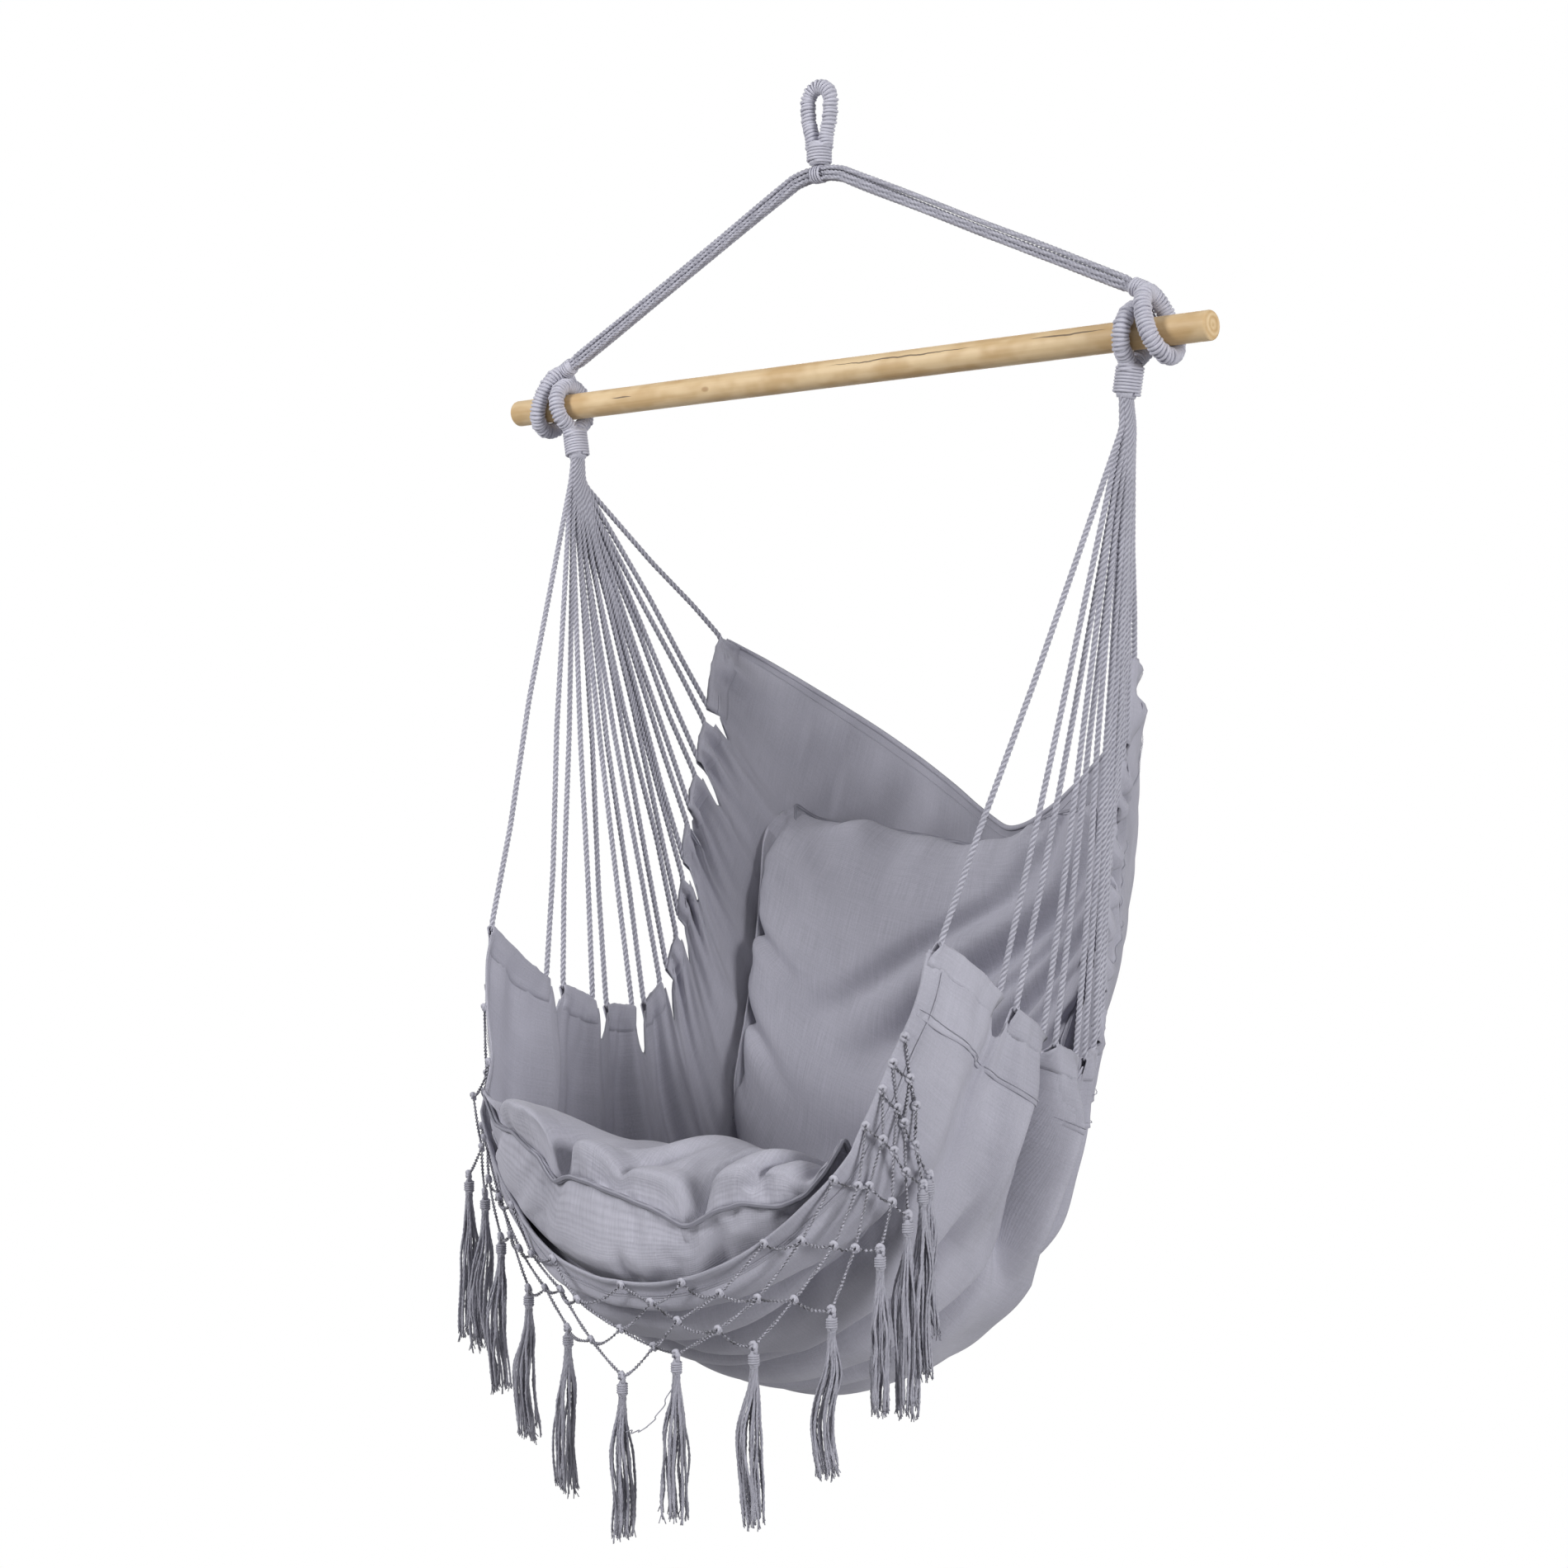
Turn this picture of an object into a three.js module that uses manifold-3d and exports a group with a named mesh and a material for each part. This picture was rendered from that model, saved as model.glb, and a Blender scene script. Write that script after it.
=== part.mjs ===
import * as THREE from "three";
import { mergeVertices } from "three/addons/utils/BufferGeometryUtils.js";
import Module from "manifold-3d";

// A hammock chair that hangs from one rope loop: a wooden spreader bar, a cloth sling held by
// two fans of cord, two loose cushions, and a knotted net with tassels along the front edge.
// Millimetres, +Z up. The origin is the inside top of the hanging loop, where a hook bears.
// +X runs along the bar to the sitter's left, and the sitter looks along -Y.

// Clearances
const gap = 0.3;
const eyeGap = 0.6;
const turnGap = 1.3;
const cornerMerge = 0.001;

// Thread, cord and rope diameters
const whippingYarn = 3.2;
const servingYarn = 2.8;
const cordDiameter = 5;
const eyeRope = 19;
const eyeSteps = 12;
const suspensionCord = 6;
const suspensionLay = 5.6;

// Hanging loop
const loopOpeningWidth = 15.3;
const loopOpeningHeight = 44;
const loopCore = 11.3;
const neckDiameter = 22.6;
const neckShoulder = 13;
const loopNeckHeight = 21;
const whippingMargin = 1;
const servingTurns = 19;

// Spreader bar, and the places of the eyes in shares of half its length
const barLength = 990;
const barDiameter = 31;
const barChamfer = 5;
const barDrop = 313;
const barShift = 14;
const harnessEyeShare = 0.814;
const suspensionEyeShare = 0.877;
const harnessEyePlace = (harnessEyeShare * barLength) / 2;
const suspensionEyePlace = (suspensionEyeShare * barLength) / 2;
const suspensionEyeLift = 16;
const suspensionEyeSlant = 0.36;
const suspensionTail = 21;

// Harness necks
const harnessNeckTop = 30;
const harnessNeckHeight = 33;
const harnessSlant = 0.17;
const neckLegSpread = 7;

// Rope crotch
const crotchDiameter = 20.8;
const crotchLength = 20.6;

// Sling
const slingHalfWidth = 312;
const slingDepth = 360;
const slingDrop = 1120;
const clothThickness = 3;
const stripThickness = 2;
const foldDepth = 8;

// Cushions
const seatThickness = 178;
const seatSeamRise = 45;
const seatBridge = 55;
const backThickness = 80;
const backSeamRise = 50;
const seatPerch = 5;
const backPerch = 2.5;
const seamThickness = 4;

// Net and tassels
const netCord = 3;
const netKnot = 2.4;
const netRows = 4;
const tasselHead = 18;
const tasselHeadWidth = 14;
const tasselLength = 168;
const tasselWidth = 24;
const straightRun = 5;

// Facets
const ropeSides = 8;
const loopSides = 14;
const loopSteps = 76;
const loopThinning = 3;
const eyeLapDegrees = 100;
const yarnSides = 5;
const turnSteps = 10;

// The sling's edges and middle line, front to back. Each row holds its place along the cloth and
// then shares of the half width, the reach and the drop. In place of a width, the middle line's
// rows hold how far the cloth there hangs flat, as a shallow curve, and not round, as a half circle.
const leftEdgeShares = [
  [0, 1, -0.617, 0.555],
  [0.07, 1.026, -0.431, 0.6],
  [0.15, 1.032, -0.228, 0.629],
  [0.24, 1.019, -0.042, 0.65],
  [0.33, 1, 0.125, 0.645],
  [0.43, 0.981, 0.228, 0.596],
  [0.53, 0.968, 0.267, 0.529],
  [0.64, 0.962, 0.289, 0.457],
  [0.76, 0.958, 0.339, 0.3875],
  [0.88, 0.955, 0.394, 0.318],
  [1, 0.952, 0.45, 0.248],
];
const rightEdgeShares = [
  [0, 1, -0.597, 0.552],
  [0.07, 1.019, -0.431, 0.585],
  [0.15, 1.026, -0.236, 0.625],
  [0.24, 1.019, -0.042, 0.659],
  [0.33, 1, 0.125, 0.671],
  [0.43, 0.974, 0.222, 0.645],
  [0.53, 0.955, 0.264, 0.58],
  [0.64, 0.949, 0.3, 0.509],
  [0.76, 0.965, 0.333, 0.434],
  [0.88, 0.985, 0.367, 0.361],
  [1, 0.995, 0.383, 0.2875],
];
const middleShares = [
  [0, 0, -0.917, 0.86],
  [0.07, 0.05, -0.744, 0.904],
  [0.15, 0.12, -0.494, 0.948],
  [0.24, 0.2, -0.194, 0.987],
  [0.33, 0.3, 0.083, 1],
  [0.43, 0.42, 0.285, 0.97],
  [0.53, 0.48, 0.475, 0.902],
  [0.64, 0.48, 0.68, 0.808],
  [0.76, 0.38, 0.86, 0.699],
  [0.88, 0.4, 0.965, 0.579],
  [1, 1, 0.978, 0.4536],
];

// Places along the cloth, in shares of its length
const notchShares = [0.12, 0.21, 0.3, 0.39, 0.48, 0.57, 0.66, 0.75, 0.85];
const notchHalfShare = 0.011;
const notchCutShare = 0.05;
const cordInsetShare = 0.004;
const hemShare = 0.022;
const hemGapShare = 0.003;
const flareStartShare = 0.82;
const creaseShare = 0.08;

// Places across the cloth, in shares of its half width, from the edge to the middle
const acrossShares = [1, 0.88, 0.76, 0.62, 0.42, 0.21, 0];
const foldInnerShare = 0.62;

// Where each cushion lies on the cloth, and how its crown falls to the seam
const seatAlongShares = [0.04, 0.385];
const seatAcrossShares = [-0.58, 0.56];
const backAlongShares = [0.49, 0.885];
const backAcrossShares = [-0.64, 0.55];
const backBowShare = 0.06;
const backSpreadShare = 0.12;
const seatStackShares = [0, -0.1, 0.995];
const backStackShares = [0, -0.86, 0.5];
const crownPower = 2.6;
const crownRoundness = 0.5;
const cushionStepShares = [-1, -0.93, -0.8, -0.55, -0.28, 0, 0.28, 0.55, 0.8, 0.93, 1];
const puckerShare = 0.06;
const puckerCount = 3;

// The tasselled columns of the net. Each row holds where it is tied across the cloth's front edge,
// its foot in shares of the sling's half width, reach and drop, and the share of its tassel's length.
const netShares = [
  [-0.84, -1.06, -0.653, 0.799, 1.09],
  [-0.72, -0.926, -0.694, 0.812, 1.03],
  [-0.56, -0.776, -0.75, 0.849, 1],
  [-0.385, -0.571, -0.806, 0.89, 0.96],
  [-0.205, -0.317, -0.861, 0.916, 1.02],
  [0, 0.003, -0.922, 0.9455, 1],
  [0.163, 0.253, -0.931, 0.916, 0.98],
  [0.374, 0.554, -0.903, 0.899, 1.04],
  [0.56, 0.804, -0.833, 0.862, 0.98],
  [0.67, 0.92, -0.75, 0.809, 0.95],
  [0.74, 0.978, -0.694, 0.78, 1.16],
  [0.79, 1, -0.653, 0.7545, 1.14],
  [0.84, 0.987, -0.611, 0.748, 0.93],
];

const wasm = await Module();
wasm.setup();
const upright = new THREE.Vector3(0, 0, 1);
const along = new THREE.Vector3(1, 0, 0);

function point(x, y, z) {
  return new THREE.Vector3(x, y, z);
}

function material(color, roughness) {
  return new THREE.MeshStandardMaterial({ color, roughness, metalness: 0 });
}

// One node: a closed geometry under its name.
function piece(name, geometry, finish) {
  const mesh = new THREE.Mesh(geometry, finish);
  mesh.name = name;
  return mesh;
}

// A closed geometry as a solid that can be joined to others.
function solid(geometry) {
  const bare = geometry.index ? geometry.toNonIndexed() : geometry.clone();
  bare.deleteAttribute("normal");
  bare.deleteAttribute("uv");
  const merged = mergeVertices(bare, cornerMerge);
  return new wasm.Manifold(
    new wasm.Mesh({
      numProp: 3,
      vertProperties: merged.attributes.position.array,
      triVerts: new Uint32Array(merged.index.array),
    }),
  );
}

function joined(geometries) {
  const whole = geometries.map(solid).reduce((sum, next) => sum.add(next));
  const mesh = whole.getMesh();
  const geometry = new THREE.BufferGeometry();
  geometry.setAttribute("position", new THREE.BufferAttribute(mesh.vertProperties, 3));
  geometry.setIndex(new THREE.BufferAttribute(mesh.triVerts, 1));
  return geometry;
}

// A geometry from corner points and faces of three or four corner numbers.
function surface(points, faces) {
  const geometry = new THREE.BufferGeometry();
  geometry.setFromPoints(points);
  const triangles = faces.flatMap((f) => (f.length === 3 ? [f] : [f.slice(0, 3), [f[0], f[2], f[3]]]));
  geometry.setIndex(triangles.flat());
  return geometry.toNonIndexed();
}

function circle(diameter, sides) {
  const corner = (i) => (2 * Math.PI * i) / sides;
  const radius = diameter / 2;
  const corners = Array.from(
    { length: sides },
    (_, i) => new THREE.Vector2(radius * Math.cos(corner(i)), radius * Math.sin(corner(i))),
  );
  return new THREE.Shape(corners);
}

function rope(points, diameter, steps, sides = ropeSides) {
  const path = new THREE.CatmullRomCurve3(points);
  return new THREE.ExtrudeGeometry(circle(diameter, sides), { steps, extrudePath: path });
}

// Leans a geometry over to the side as it rises from its origin.
function slanted(geometry, slant) {
  return geometry.applyMatrix4(new THREE.Matrix4().makeShear(0, 0, 0, 0, slant, 0));
}

function uprightCylinder(diameter, top, bottom, place, sides = 2 * ropeSides) {
  const cylinder = new THREE.CylinderGeometry(diameter / 2, diameter / 2, top - bottom, sides);
  cylinder.rotateX(Math.PI / 2);
  return cylinder.translate(place, 0, (top + bottom) / 2);
}

// A tube with one ring of corners at each point of its route.
function tubeThrough(points, diameter) {
  const leg = (i) => points[i + 1].clone().sub(points[i]).normalize();
  const tangent = (i) => {
    const before = leg(Math.max(i - 1, 0));
    return before.add(leg(Math.min(i, points.length - 2))).normalize();
  };
  let side = tangent(0).cross(upright).normalize();
  const corners = [];
  points.forEach((centre, i) => {
    const ahead = tangent(i);
    side = side.clone().addScaledVector(ahead, -side.dot(ahead)).normalize();
    const other = ahead.clone().cross(side);
    for (let k = 0; k < yarnSides; k++) {
      const angle = (2 * Math.PI * k) / yarnSides;
      const outwards = side.clone().multiplyScalar(Math.cos(angle));
      outwards.addScaledVector(other, Math.sin(angle));
      corners.push(centre.clone().addScaledVector(outwards, diameter / 2));
    }
  });
  const faces = [];
  const last = (points.length - 1) * yarnSides;
  for (let k = 0; k < yarnSides; k++) {
    const next = (k + 1) % yarnSides;
    for (let ring = 0; ring < last; ring += yarnSides) {
      faces.push([ring + k, ring + next, ring + yarnSides + next, ring + yarnSides + k]);
    }
    if (k > 0 && next > 0) {
      faces.push([0, next, k]);
      faces.push([last, last + k, last + next]);
    }
  }
  return surface(corners, faces);
}

// The least gap between the turns of a wound tube, measured from point to point.
function leastTurnGap(points, diameter) {
  let least = Infinity;
  points.forEach((a, i) => {
    points.slice(i + turnSteps / 2).forEach((b) => {
      least = Math.min(least, a.distanceTo(b) - diameter);
    });
  });
  return least;
}

// Yarn wound round a path: centre and outwards directions come from frameAt(share).
function winding(name, frameAt, turns, radius, diameter, finish) {
  const steps = turns * turnSteps;
  const woundRadius = (radius + gap + diameter / 2) / Math.cos(Math.PI / turnSteps);
  const points = [];
  for (let i = 0; i <= steps; i++) {
    const frame = frameAt(i / steps);
    const angle = (2 * Math.PI * i) / turnSteps;
    const place = frame.centre.clone();
    place.addScaledVector(frame.side, woundRadius * Math.cos(angle));
    place.addScaledVector(frame.other, woundRadius * Math.sin(angle));
    points.push(place);
  }
  const runOut = (end, inner) => end.clone().addScaledVector(end.clone().sub(inner).normalize(), diameter);
  points.unshift(runOut(points[0], points[1]));
  points.push(runOut(points.at(-1), points.at(-2)));
  console.log(name, "least gap between turns", leastTurnGap(points, diameter).toFixed(2), "mm");
  return piece(name, tubeThrough(points, diameter), finish);
}

// Whipping: yarn wound round a neck, from its top to its bottom.
function whipping(name, placeAt, top, bottom, finish) {
  const length = top - bottom - whippingYarn;
  const turns = Math.floor(length / (whippingYarn + turnGap / 2));
  const frameAt = (share) => {
    const height = top - whippingYarn / 2 - share * length;
    return { centre: point(placeAt(height), 0, height), side: along, other: point(0, 1, 0) };
  };
  return winding(name, frameAt, turns, neckDiameter / 2, whippingYarn, finish);
}

// Heights of the hanging loop and its neck
const servedRope = loopCore + 2 * gap + 2 * servingYarn;
const loopBend = (loopOpeningWidth + servedRope) / 2;
const loopBendCentre = servedRope / 2 - loopBend;
const loopNeckTop = -loopOpeningHeight - neckShoulder;
const loopNeckBottom = loopNeckTop - loopNeckHeight;

// The loop's middle line in its own plane, from the left leg over the top to the right leg.
function loopCurve() {
  const legBottom = -loopOpeningHeight - whippingMargin;
  const legPlace = servedRope / 2 + gap + whippingMargin;
  const points = [];
  points.push(point(-legPlace, 0, legBottom));
  points.push(point(-loopBend, 0, (loopBendCentre + legBottom) / 2));
  for (let angle = Math.PI; angle > -gap; angle -= Math.PI / 8) {
    const x = loopBend * Math.cos(angle);
    points.push(point(x, 0, loopBendCentre + loopBend * Math.sin(angle)));
  }
  points.push(point(loopBend, 0, (loopBendCentre + legBottom) / 2));
  points.push(point(legPlace, 0, legBottom));
  return new THREE.CatmullRomCurve3(points);
}

// The rope inside the hanging loop, whose legs close into the neck.
function hangingLoop(finish) {
  const points = loopCurve().getPoints(loopSteps);
  const inNeck = point(neckDiameter / 2 - loopCore / 2, 0, loopNeckTop - loopCore / 2);
  const half = (side) => {
    const ownSide = points.filter((p) => side * p.x > -loopCore / 2 && p.z > loopNeckTop);
    const route = side > 0 ? ownSide.reverse() : ownSide;
    const thinned = route.filter((_, i) => i % loopThinning === 0 || i === route.length - 1);
    return rope([point(side * inNeck.x, 0, inNeck.z), ...thinned], loopCore, loopSides);
  };
  const neck = uprightCylinder(neckDiameter, loopNeckTop, loopNeckBottom, 0);
  return piece("hanging_loop", joined([half(-1), half(1), neck]), finish);
}

function loopServing(finish) {
  const curve = loopCurve();
  const frameAt = (share) => {
    const ahead = curve.getTangentAt(share);
    const other = point(0, 1, 0);
    return { centre: curve.getPointAt(share), side: ahead.clone().cross(other).normalize(), other };
  };
  return winding("loop_serving", frameAt, servingTurns, loopCore / 2, servingYarn, finish);
}

// Rope crotch and suspension ropes
const crotchHeight = loopNeckBottom - gap - crotchDiameter / 2;
const eyeBend = (barDiameter / 2 + eyeGap + eyeRope / 2) / Math.cos(Math.PI / 20);

function ropeCrotch(finish) {
  const barrel = new THREE.CylinderGeometry(crotchDiameter / 2, crotchDiameter / 2, crotchLength, 16);
  barrel.rotateZ(Math.PI / 2);
  return piece("rope_crotch", barrel.translate(0, 0, crotchHeight), finish);
}

// Six cords laid three high and two deep, as one outline.
function bundleOutline() {
  const lobe = suspensionCord / 2;
  const rows = [-suspensionLay, 0, suspensionLay];
  const corners = [];
  const edge = (side, height, turn) => {
    const angle = turn * (Math.PI / 4);
    corners.push(new THREE.Vector2(height + lobe * Math.sin(angle), side * (lobe * Math.cos(angle) + lobe)));
  };
  rows.forEach((height) => [-1, 0, 1].forEach((turn) => edge(1, height, turn)));
  rows.reverse().forEach((height) => [1, 0, -1].forEach((turn) => edge(-1, height, turn)));
  return new THREE.Shape(corners);
}

// The middle of the suspension eye's top, and the way from there to the rope crotch.
function eyeTop(side) {
  const height = eyeBend + suspensionEyeLift;
  const place = side * (suspensionEyePlace - suspensionEyeSlant * height) + barShift;
  return point(place, 0, height - barDrop);
}

function ropeTurn(side) {
  return point(side * (crotchLength / 2 + gap + 3 * straightRun), 0, crotchHeight);
}

function ropePull(side) {
  return ropeTurn(side).sub(eyeTop(side)).normalize();
}

function suspensionRope(name, side, finish) {
  const crotch = (run) => point(side * (crotchLength / 2 + gap + run), 0, crotchHeight);
  const end = (run) => eyeTop(side).addScaledVector(ropePull(side), suspensionTail + gap + run);
  const turn = (run) => ropeTurn(side).addScaledVector(ropePull(side), -run);
  const points = [crotch(0), crotch(straightRun), crotch(2 * straightRun)];
  points.push(turn(2 * straightRun), turn(4 * straightRun));
  points.push(end(2 * straightRun), end(straightRun), end(0));
  const path = new THREE.CatmullRomCurve3(points);
  const geometry = new THREE.ExtrudeGeometry(bundleOutline(), { steps: 16, extrudePath: path });
  return piece(name, geometry, finish);
}

// One side of an eye: rope from just past the bar's top, down round it to an angle in degrees.
function eyeSide(turn, lift, end, tail) {
  const points = [];
  for (let i = 0; i <= eyeSteps; i++) {
    const angle = (THREE.MathUtils.lerp(eyeLapDegrees, end, i / eyeSteps) * Math.PI) / 180;
    const rise = lift * Math.max(0, Math.sin(angle));
    points.push(point(0, turn * eyeBend * Math.cos(angle), eyeBend * Math.sin(angle) + rise));
  }
  return rope([...points, ...tail], eyeRope, eyeSteps);
}

// Suspension eye: a drawn out rope ring round the bar, leaning with the rope's pull, and its tail.
function suspensionEye(name, side, finish) {
  const place = side * suspensionEyePlace + barShift;
  const sides = [1, -1].map((turn) => {
    const half = slanted(eyeSide(turn, suspensionEyeLift, -eyeLapDegrees, []), -side * suspensionEyeSlant);
    return half.translate(place, 0, -barDrop);
  });
  const tail = new THREE.CylinderGeometry(eyeRope / 2, eyeRope / 2, suspensionTail, 2 * ropeSides);
  tail.translate(0, suspensionTail / 2, 0);
  tail.applyQuaternion(new THREE.Quaternion().setFromUnitVectors(point(0, 1, 0), ropePull(side)));
  tail.translate(...eyeTop(side).toArray());
  return piece(name, joined([...sides, tail]), finish);
}

function spreaderBar(finish) {
  const radius = barDiameter / 2;
  const end = barLength / 2;
  const profile = [
    new THREE.Vector2(0, -end),
    new THREE.Vector2(radius - barChamfer, -end),
    new THREE.Vector2(radius, barChamfer - end),
    new THREE.Vector2(radius, end - barChamfer),
    new THREE.Vector2(radius - barChamfer, end),
    new THREE.Vector2(0, end),
  ];
  const bar = new THREE.LatheGeometry(profile, 24);
  bar.rotateZ(-Math.PI / 2);
  return piece("spreader_bar", bar.translate(barShift, 0, -barDrop), finish);
}

// Where the leaning neck of a harness is at a height.
function harnessPlaceAt(side, height) {
  return side * (harnessEyePlace + harnessSlant * (height + barDrop)) + barShift;
}

// Harness eye: rope over the bar whose two legs close into the neck.
function harnessEye(name, side, finish) {
  const leg = (turn) => {
    const runs = [straightRun, straightRun / 2, 0];
    const tail = runs.map((run) => point(0, turn * neckLegSpread, run - harnessNeckTop));
    const half = slanted(eyeSide(turn, 0, -45, tail), side * harnessSlant);
    return half.translate(side * harnessEyePlace + barShift, 0, -barDrop);
  };
  return piece(name, joined([leg(-1), leg(1)]), finish);
}

// The smooth line through a table's rows, at one place along the cloth.
function rowAt(table, place) {
  const next = table.findIndex((row, i) => i > 0 && (place <= row[0] || i === table.length - 1));
  const rows = [next - 2, next - 1, next, next + 1];
  const [before, low, high, after] = rows.map((i) => table[Math.min(Math.max(i, 0), table.length - 1)]);
  const t = (place - low[0]) / (high[0] - low[0]);
  return [1, 2, 3].map((k) => {
    const slope = (high[k] - before[k]) * t;
    const bend = (2 * before[k] - 5 * low[k] + 4 * high[k] - after[k]) * t * t;
    const twist = (3 * low[k] - before[k] - 3 * high[k] + after[k]) * t * t * t;
    return low[k] + (slope + bend + twist) / 2;
  });
}

// A point of the sling's inner face. Across runs from -1 at the right hand edge of the sitter to 1.
function slingPoint(place, across) {
  const edge = rowAt(across < 0 ? leftEdgeShares : rightEdgeShares, place);
  const middle = rowAt(middleShares, place);
  const flat = middle[0];
  const angle = (Math.PI / 2) * across;
  const size = (Math.hypot(across, creaseShare) - creaseShare) / (Math.hypot(1, creaseShare) - creaseShare);
  const peak = 1 + THREE.MathUtils.smoothstep(1 - place, 0, 1 - flareStartShare);
  const width = edge[0] * ((1 - flat) * Math.sin(angle) + flat * across);
  const deep = (1 - flat) * Math.cos(angle) + flat * (1 - across * across);
  const low = (1 - flat) * Math.cos(angle) + flat * (1 - size ** peak);
  return point(
    slingHalfWidth * width + barShift,
    slingDepth * (edge[1] + (middle[1] - edge[1]) * deep),
    -barDrop - slingDrop * (edge[2] + (middle[2] - edge[2]) * low),
  );
}

// Directions on the cloth: along it to the back, across it, and off its inner face.
function slingFrame(place, across) {
  const step = hemGapShare;
  const at = (p, a) => slingPoint(Math.min(Math.max(p, 0), 1), Math.min(Math.max(a, -1), 1));
  const back = at(place + step, across).sub(at(place - step, across)).normalize();
  const outwards = at(place, across + step).sub(at(place, across - step)).normalize();
  return { back, outwards, inwards: outwards.clone().cross(back).normalize() };
}

// How near a place is to a notch of the gathered edge: 1 at a notch, 0 past its corners.
function notchAt(place) {
  const nearest = Math.min(...notchShares.map((notch) => Math.abs(place - notch)));
  return Math.max(0, 1 - nearest / notchHalfShare);
}

// Pleats that run in from the gathered edges: in behind each notch, out behind each tab.
function pleatAt(place, across) {
  const marks = [0, ...notchShares, 1];
  const i = Math.max(1, marks.findIndex((mark) => place <= mark));
  const within = (place - marks[i - 1]) / (marks[i] - marks[i - 1]);
  const size = Math.abs(across);
  const inside = THREE.MathUtils.clamp((size - foldInnerShare) / (1 - foldInnerShare), 0, 1);
  return Math.cos(2 * Math.PI * within) * Math.sin(Math.PI * inside);
}

// A point of the cloth, a depth out from its inner face, with its pleats and notches.
function clothPoint(place, span, depth) {
  const across = span * (1 - notchCutShare * notchAt(place));
  const frame = slingFrame(place, across);
  const off = foldDepth * pleatAt(place, across) - depth;
  return slingPoint(place, across).addScaledVector(frame.inwards, off);
}

function alongLines() {
  const lines = [0, hemShare, hemShare + hemGapShare];
  const marks = [...notchShares, 1 - hemShare];
  notchShares.forEach((notch, i) => {
    const corner = notch + notchHalfShare;
    const nextCorner = marks[i + 1] - (i + 1 < notchShares.length ? notchHalfShare : hemGapShare);
    lines.push(notch - notchHalfShare, notch, corner, (corner + nextCorner) / 2);
  });
  lines.push((hemShare + notchShares[0]) / 2, 1 - hemShare - hemGapShare, 1 - hemShare, 1);
  return lines.sort((a, b) => a - b);
}

function acrossLines() {
  const right = acrossShares.slice(0, -1).reverse();
  return [...acrossShares.map((share) => -share), ...right];
}

// A closed sheet between two depths, over the given lines along and across the cloth.
function clothSheet(rows, columns, inner, outer) {
  const corners = [inner, outer].flatMap((depth) =>
    rows.flatMap((place) => columns.map((span) => clothPoint(place, span, depth))),
  );
  const width = columns.length;
  const layer = rows.length * width;
  const faces = [];
  for (let i = 0; i < rows.length - 1; i++) {
    for (let j = 0; j < width - 1; j++) {
      const a = i * width + j;
      faces.push([a, a + 1, a + width + 1, a + width]);
      faces.push([a + layer, a + layer + width, a + layer + width + 1, a + layer + 1]);
    }
  }
  const rim = [];
  for (let j = 0; j < width - 1; j++) rim.push(j);
  for (let i = 0; i < rows.length - 1; i++) rim.push(i * width + width - 1);
  for (let j = width - 1; j > 0; j--) rim.push((rows.length - 1) * width + j);
  for (let i = rows.length - 1; i > 0; i--) rim.push(i * width);
  rim.forEach((a, i) => {
    const b = rim[(i + 1) % rim.length];
    faces.push([a + layer, b + layer, b, a]);
  });
  return surface(corners, faces);
}

const stripInner = clothThickness + gap;
const stripOuter = stripInner + stripThickness;

function slingCanvas(finish) {
  return piece("sling_canvas", clothSheet(alongLines(), acrossLines(), 0, clothThickness), finish);
}

function sideCasing(name, side, finish) {
  const rows = alongLines().slice(2, -2);
  const columns = [acrossShares[0], acrossShares[1]].map((share) => side * share);
  columns.sort((a, b) => a - b);
  return piece(name, clothSheet(rows, columns, stripInner, stripOuter), finish);
}

function hem(name, rows, finish) {
  return piece(name, clothSheet(rows, acrossLines(), stripInner, stripOuter), finish);
}

// A point on a tab's crest where a cord runs, just off the cloth's edge.
function crestPoint(place, side) {
  const frame = slingFrame(place, side);
  const before = slingPoint(Math.max(place - hemShare, 0), side);
  const after = slingPoint(Math.min(place + hemShare, 1), side);
  const run = after.sub(before).normalize();
  const outwards = frame.outwards.clone().multiplyScalar(side);
  outwards.addScaledVector(run, -outwards.dot(run)).normalize();
  const centre = slingPoint(place, side).addScaledVector(frame.inwards, -clothThickness / 2);
  return centre.addScaledVector(outwards, cordDiameter / 2 + 2 * gap);
}

// The places along each tab between notches that its cord runs through.
function tabPlaces() {
  const starts = [cordInsetShare, ...notchShares.map((notch) => notch + notchHalfShare + cordInsetShare)];
  const ends = [...notchShares.map((notch) => notch - notchHalfShare - cordInsetShare), 1 - cordInsetShare];
  const between = (start, end) => alongLines().filter((place) => place > start && place < end);
  return starts.map((start, i) => [start, ...between(start, ends[i]), ends[i]]);
}

const harnessPlugTop = -barDrop - harnessNeckTop - gap;
const harnessPlugBottom = harnessPlugTop - harnessNeckHeight;

// Where a cord leaves the neck: ordered front to back, in two rows.
function neckPlace(side, order, count) {
  const spread = neckDiameter / 2 - cordDiameter / 2 - whippingMargin;
  const share = (2 * order) / (count - 1) - 1;
  const row = (order % 2 === 0 ? 1 : -1) * Math.sqrt(1 - share * share);
  const height = harnessPlugBottom + cordDiameter / 2;
  return point(harnessPlaceAt(side, height) + (spread / 2) * row, spread * share, height);
}

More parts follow.
